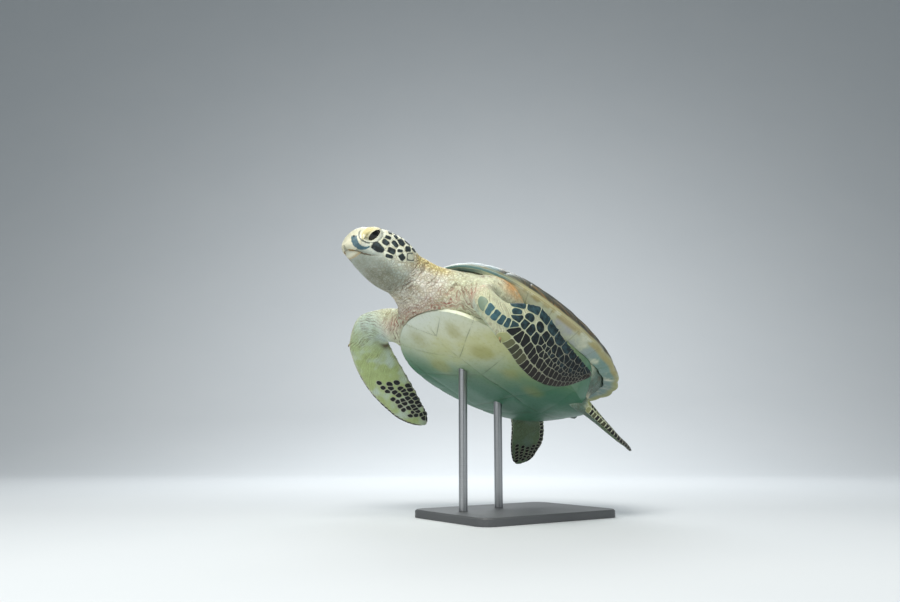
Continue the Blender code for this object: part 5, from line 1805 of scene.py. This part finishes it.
def lacquer_material():
    """Matt warm-grey lacquer on the base, with a fine orange-peel surface and faint handling marks."""
    m = Shade("base_lacquer", 0.45, specular_ior_level=0.5)
    at = m.place()
    peel, mark = m.cloud(at, 900, 2), m.cloud(at, 9, 5)
    colour = m.mix(paint(74, 76, 78), paint(88, 90, 92), mark)
    return m.wear(colour, 0.38 + 0.16 * mark + 0.05 * peel, m.bump(peel, 0.05))


def floor_material():
    """Plain pale studio floor."""
    m = Shade("studio_floor", 0.75, specular_ior_level=0.3)
    mark = m.cloud(m.place(), 2, 4)
    return m.wear(m.mix(paint(212, 216, 219), paint(217, 220, 222), mark), 0.7 + 0.1 * mark)


# ---- studio
def make_floor(look):
    """A wide floor that sweeps up behind the model: flat for two metres, then rising with the square."""
    ahead, across = np.meshgrid(np.linspace(-14.0, 8.0, 90), np.linspace(-14.0, 14.0, 30), indexing="ij")
    way = np.array((-0.82, 0.57))
    rise = 0.25 * np.maximum(ahead - 2.0, 0.0) ** 2 - 0.0005
    grid = np.stack((way[0] * ahead - way[1] * across, way[1] * ahead + way[0] * across, rise), -1)
    return piece("studio_floor", grid.reshape(-1, 3), sheet_faces(90, 30), look, posed=False)


def aimed(data, place, direction):
    """A light or camera at a place, looking level along a direction."""
    obj = bpy.data.objects.new(data.name, data)
    obj.location = place
    obj.rotation_euler = Vector(direction).to_track_quat("-Z", "Y").to_euler()
    bpy.context.scene.collection.objects.link(obj)
    return obj


def make_light(name, place, target, size, power, colour=(1.0, 1.0, 1.0)):
    """A square soft light aimed at a point."""
    data = bpy.data.lights.new(name, "AREA")
    data.energy, data.size, data.color = power, size, colour
    aimed(data, place, Vector(target) - Vector(place))


def make_camera(place, direction, lens):
    """A level camera at a place, looking along a direction."""
    data = bpy.data.cameras.new("camera")
    data.lens, data.sensor_width = lens, 36.0
    data.clip_start, data.clip_end = 0.02, 200.0
    bpy.context.scene.camera = aimed(data, place, direction)


# ---- assembly
skin = make_skin(skin_material())
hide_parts("head", "neck", "trunk", "tail", *["flipper_" + name for name in FLIPPERS])

horn_upper = make_beak("beak_upper_dressed", True, beak_material("horn_upper", True))
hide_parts("beak_upper")
horn_lower = make_beak("beak_lower_dressed", False, beak_material("horn_lower", False))
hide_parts("beak_lower")

pieces = [skin, horn_upper, horn_lower]
eye_look, lid_look = eye_material(), lid_material()
for side_name, eye in EYES.items():
    ball = make_eyeball("eyeball_" + side_name, eye, eye_look)
    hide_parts("eye_" + side_name)
    pieces += [ball, make_lids("eyelids_" + side_name, eye, lid_look)]

carapace = make_carapace(carapace_material())
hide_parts("carapace")
plastron = make_plastron(plastron_material())
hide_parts("plastron")
pieces += [carapace, plastron]

limb_scales = scale_material("limb_scales", paint(18, 25, 28), paint(54, 44, 36), paint(198, 206, 176),
                             paint(150, 150, 138), paint(184, 188, 134))
pieces.append(scale_plates("scales_head", [head_part()], shield_material()))
for number, (name, blade) in enumerate(BLADES.items()):
    front = name.startswith("front")
    top_rows, low_rows = (UPPER_ROWS, UNDER_ROWS) if front else (HIND_UPPER_ROWS, HIND_UNDER_ROWS)
    corner = (0.02 + 0.48 * (number % 2), 0.02 + 0.24 * (number // 2))
    parts = [blade_part(blade, 1.0, top_rows, 40 + number, corner),
             blade_part(blade, -1.0, low_rows, 60 + number, (corner[0], corner[1] + 0.23))]
    pieces.append(scale_plates("scales_" + name, parts, limb_scales))
    if front:
        pieces.append(make_claw("claw_" + name, blade, 0.47, claw_material()))

for made in pieces:
    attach(made, "root")
for node, look in (("stand_base", lacquer_material()), ("stand_rod_front", steel_material()),
                   ("stand_rod_rear", steel_material())):
    obj = frame["nodes"][node]
    obj.data.materials.clear()
    obj.data.materials.append(look)

make_floor(floor_material())
TARGET = (0.0, 0.0, 0.36)
make_light("key", (0.9, -1.2, 2.4), TARGET, 1.2, 66.0, (1.0, 0.99, 0.95))
make_light("fill", (2.2, 0.8, 0.9), TARGET, 2.0, 7.0, (0.92, 0.97, 1.0))
make_light("back", (-1.6, 0.9, 1.9), TARGET, 1.4, 26.0, (0.94, 0.98, 1.0))
make_light("low_front", (0.6, -2.0, 0.5), TARGET, 1.4, 6.0)
make_light("backdrop", (-0.9, 0.9, 2.6), (-4.6, 3.2, 0.8), 2.4, 62.0, (0.96, 0.98, 1.0))
world_look = bpy.data.worlds.new("studio")
bpy.context.scene.world = world_look
world_look.use_nodes = True
sky = world_look.node_tree.nodes["Background"].inputs
sky["Color"].default_value, sky["Strength"].default_value = (0.8, 0.88, 0.92, 1.0), 0.3
bpy.context.scene.view_settings.view_transform = "Standard"
make_camera((1.312, -1.075, 0.158), (-0.8093, 0.5604, 0.1759), 31.2)
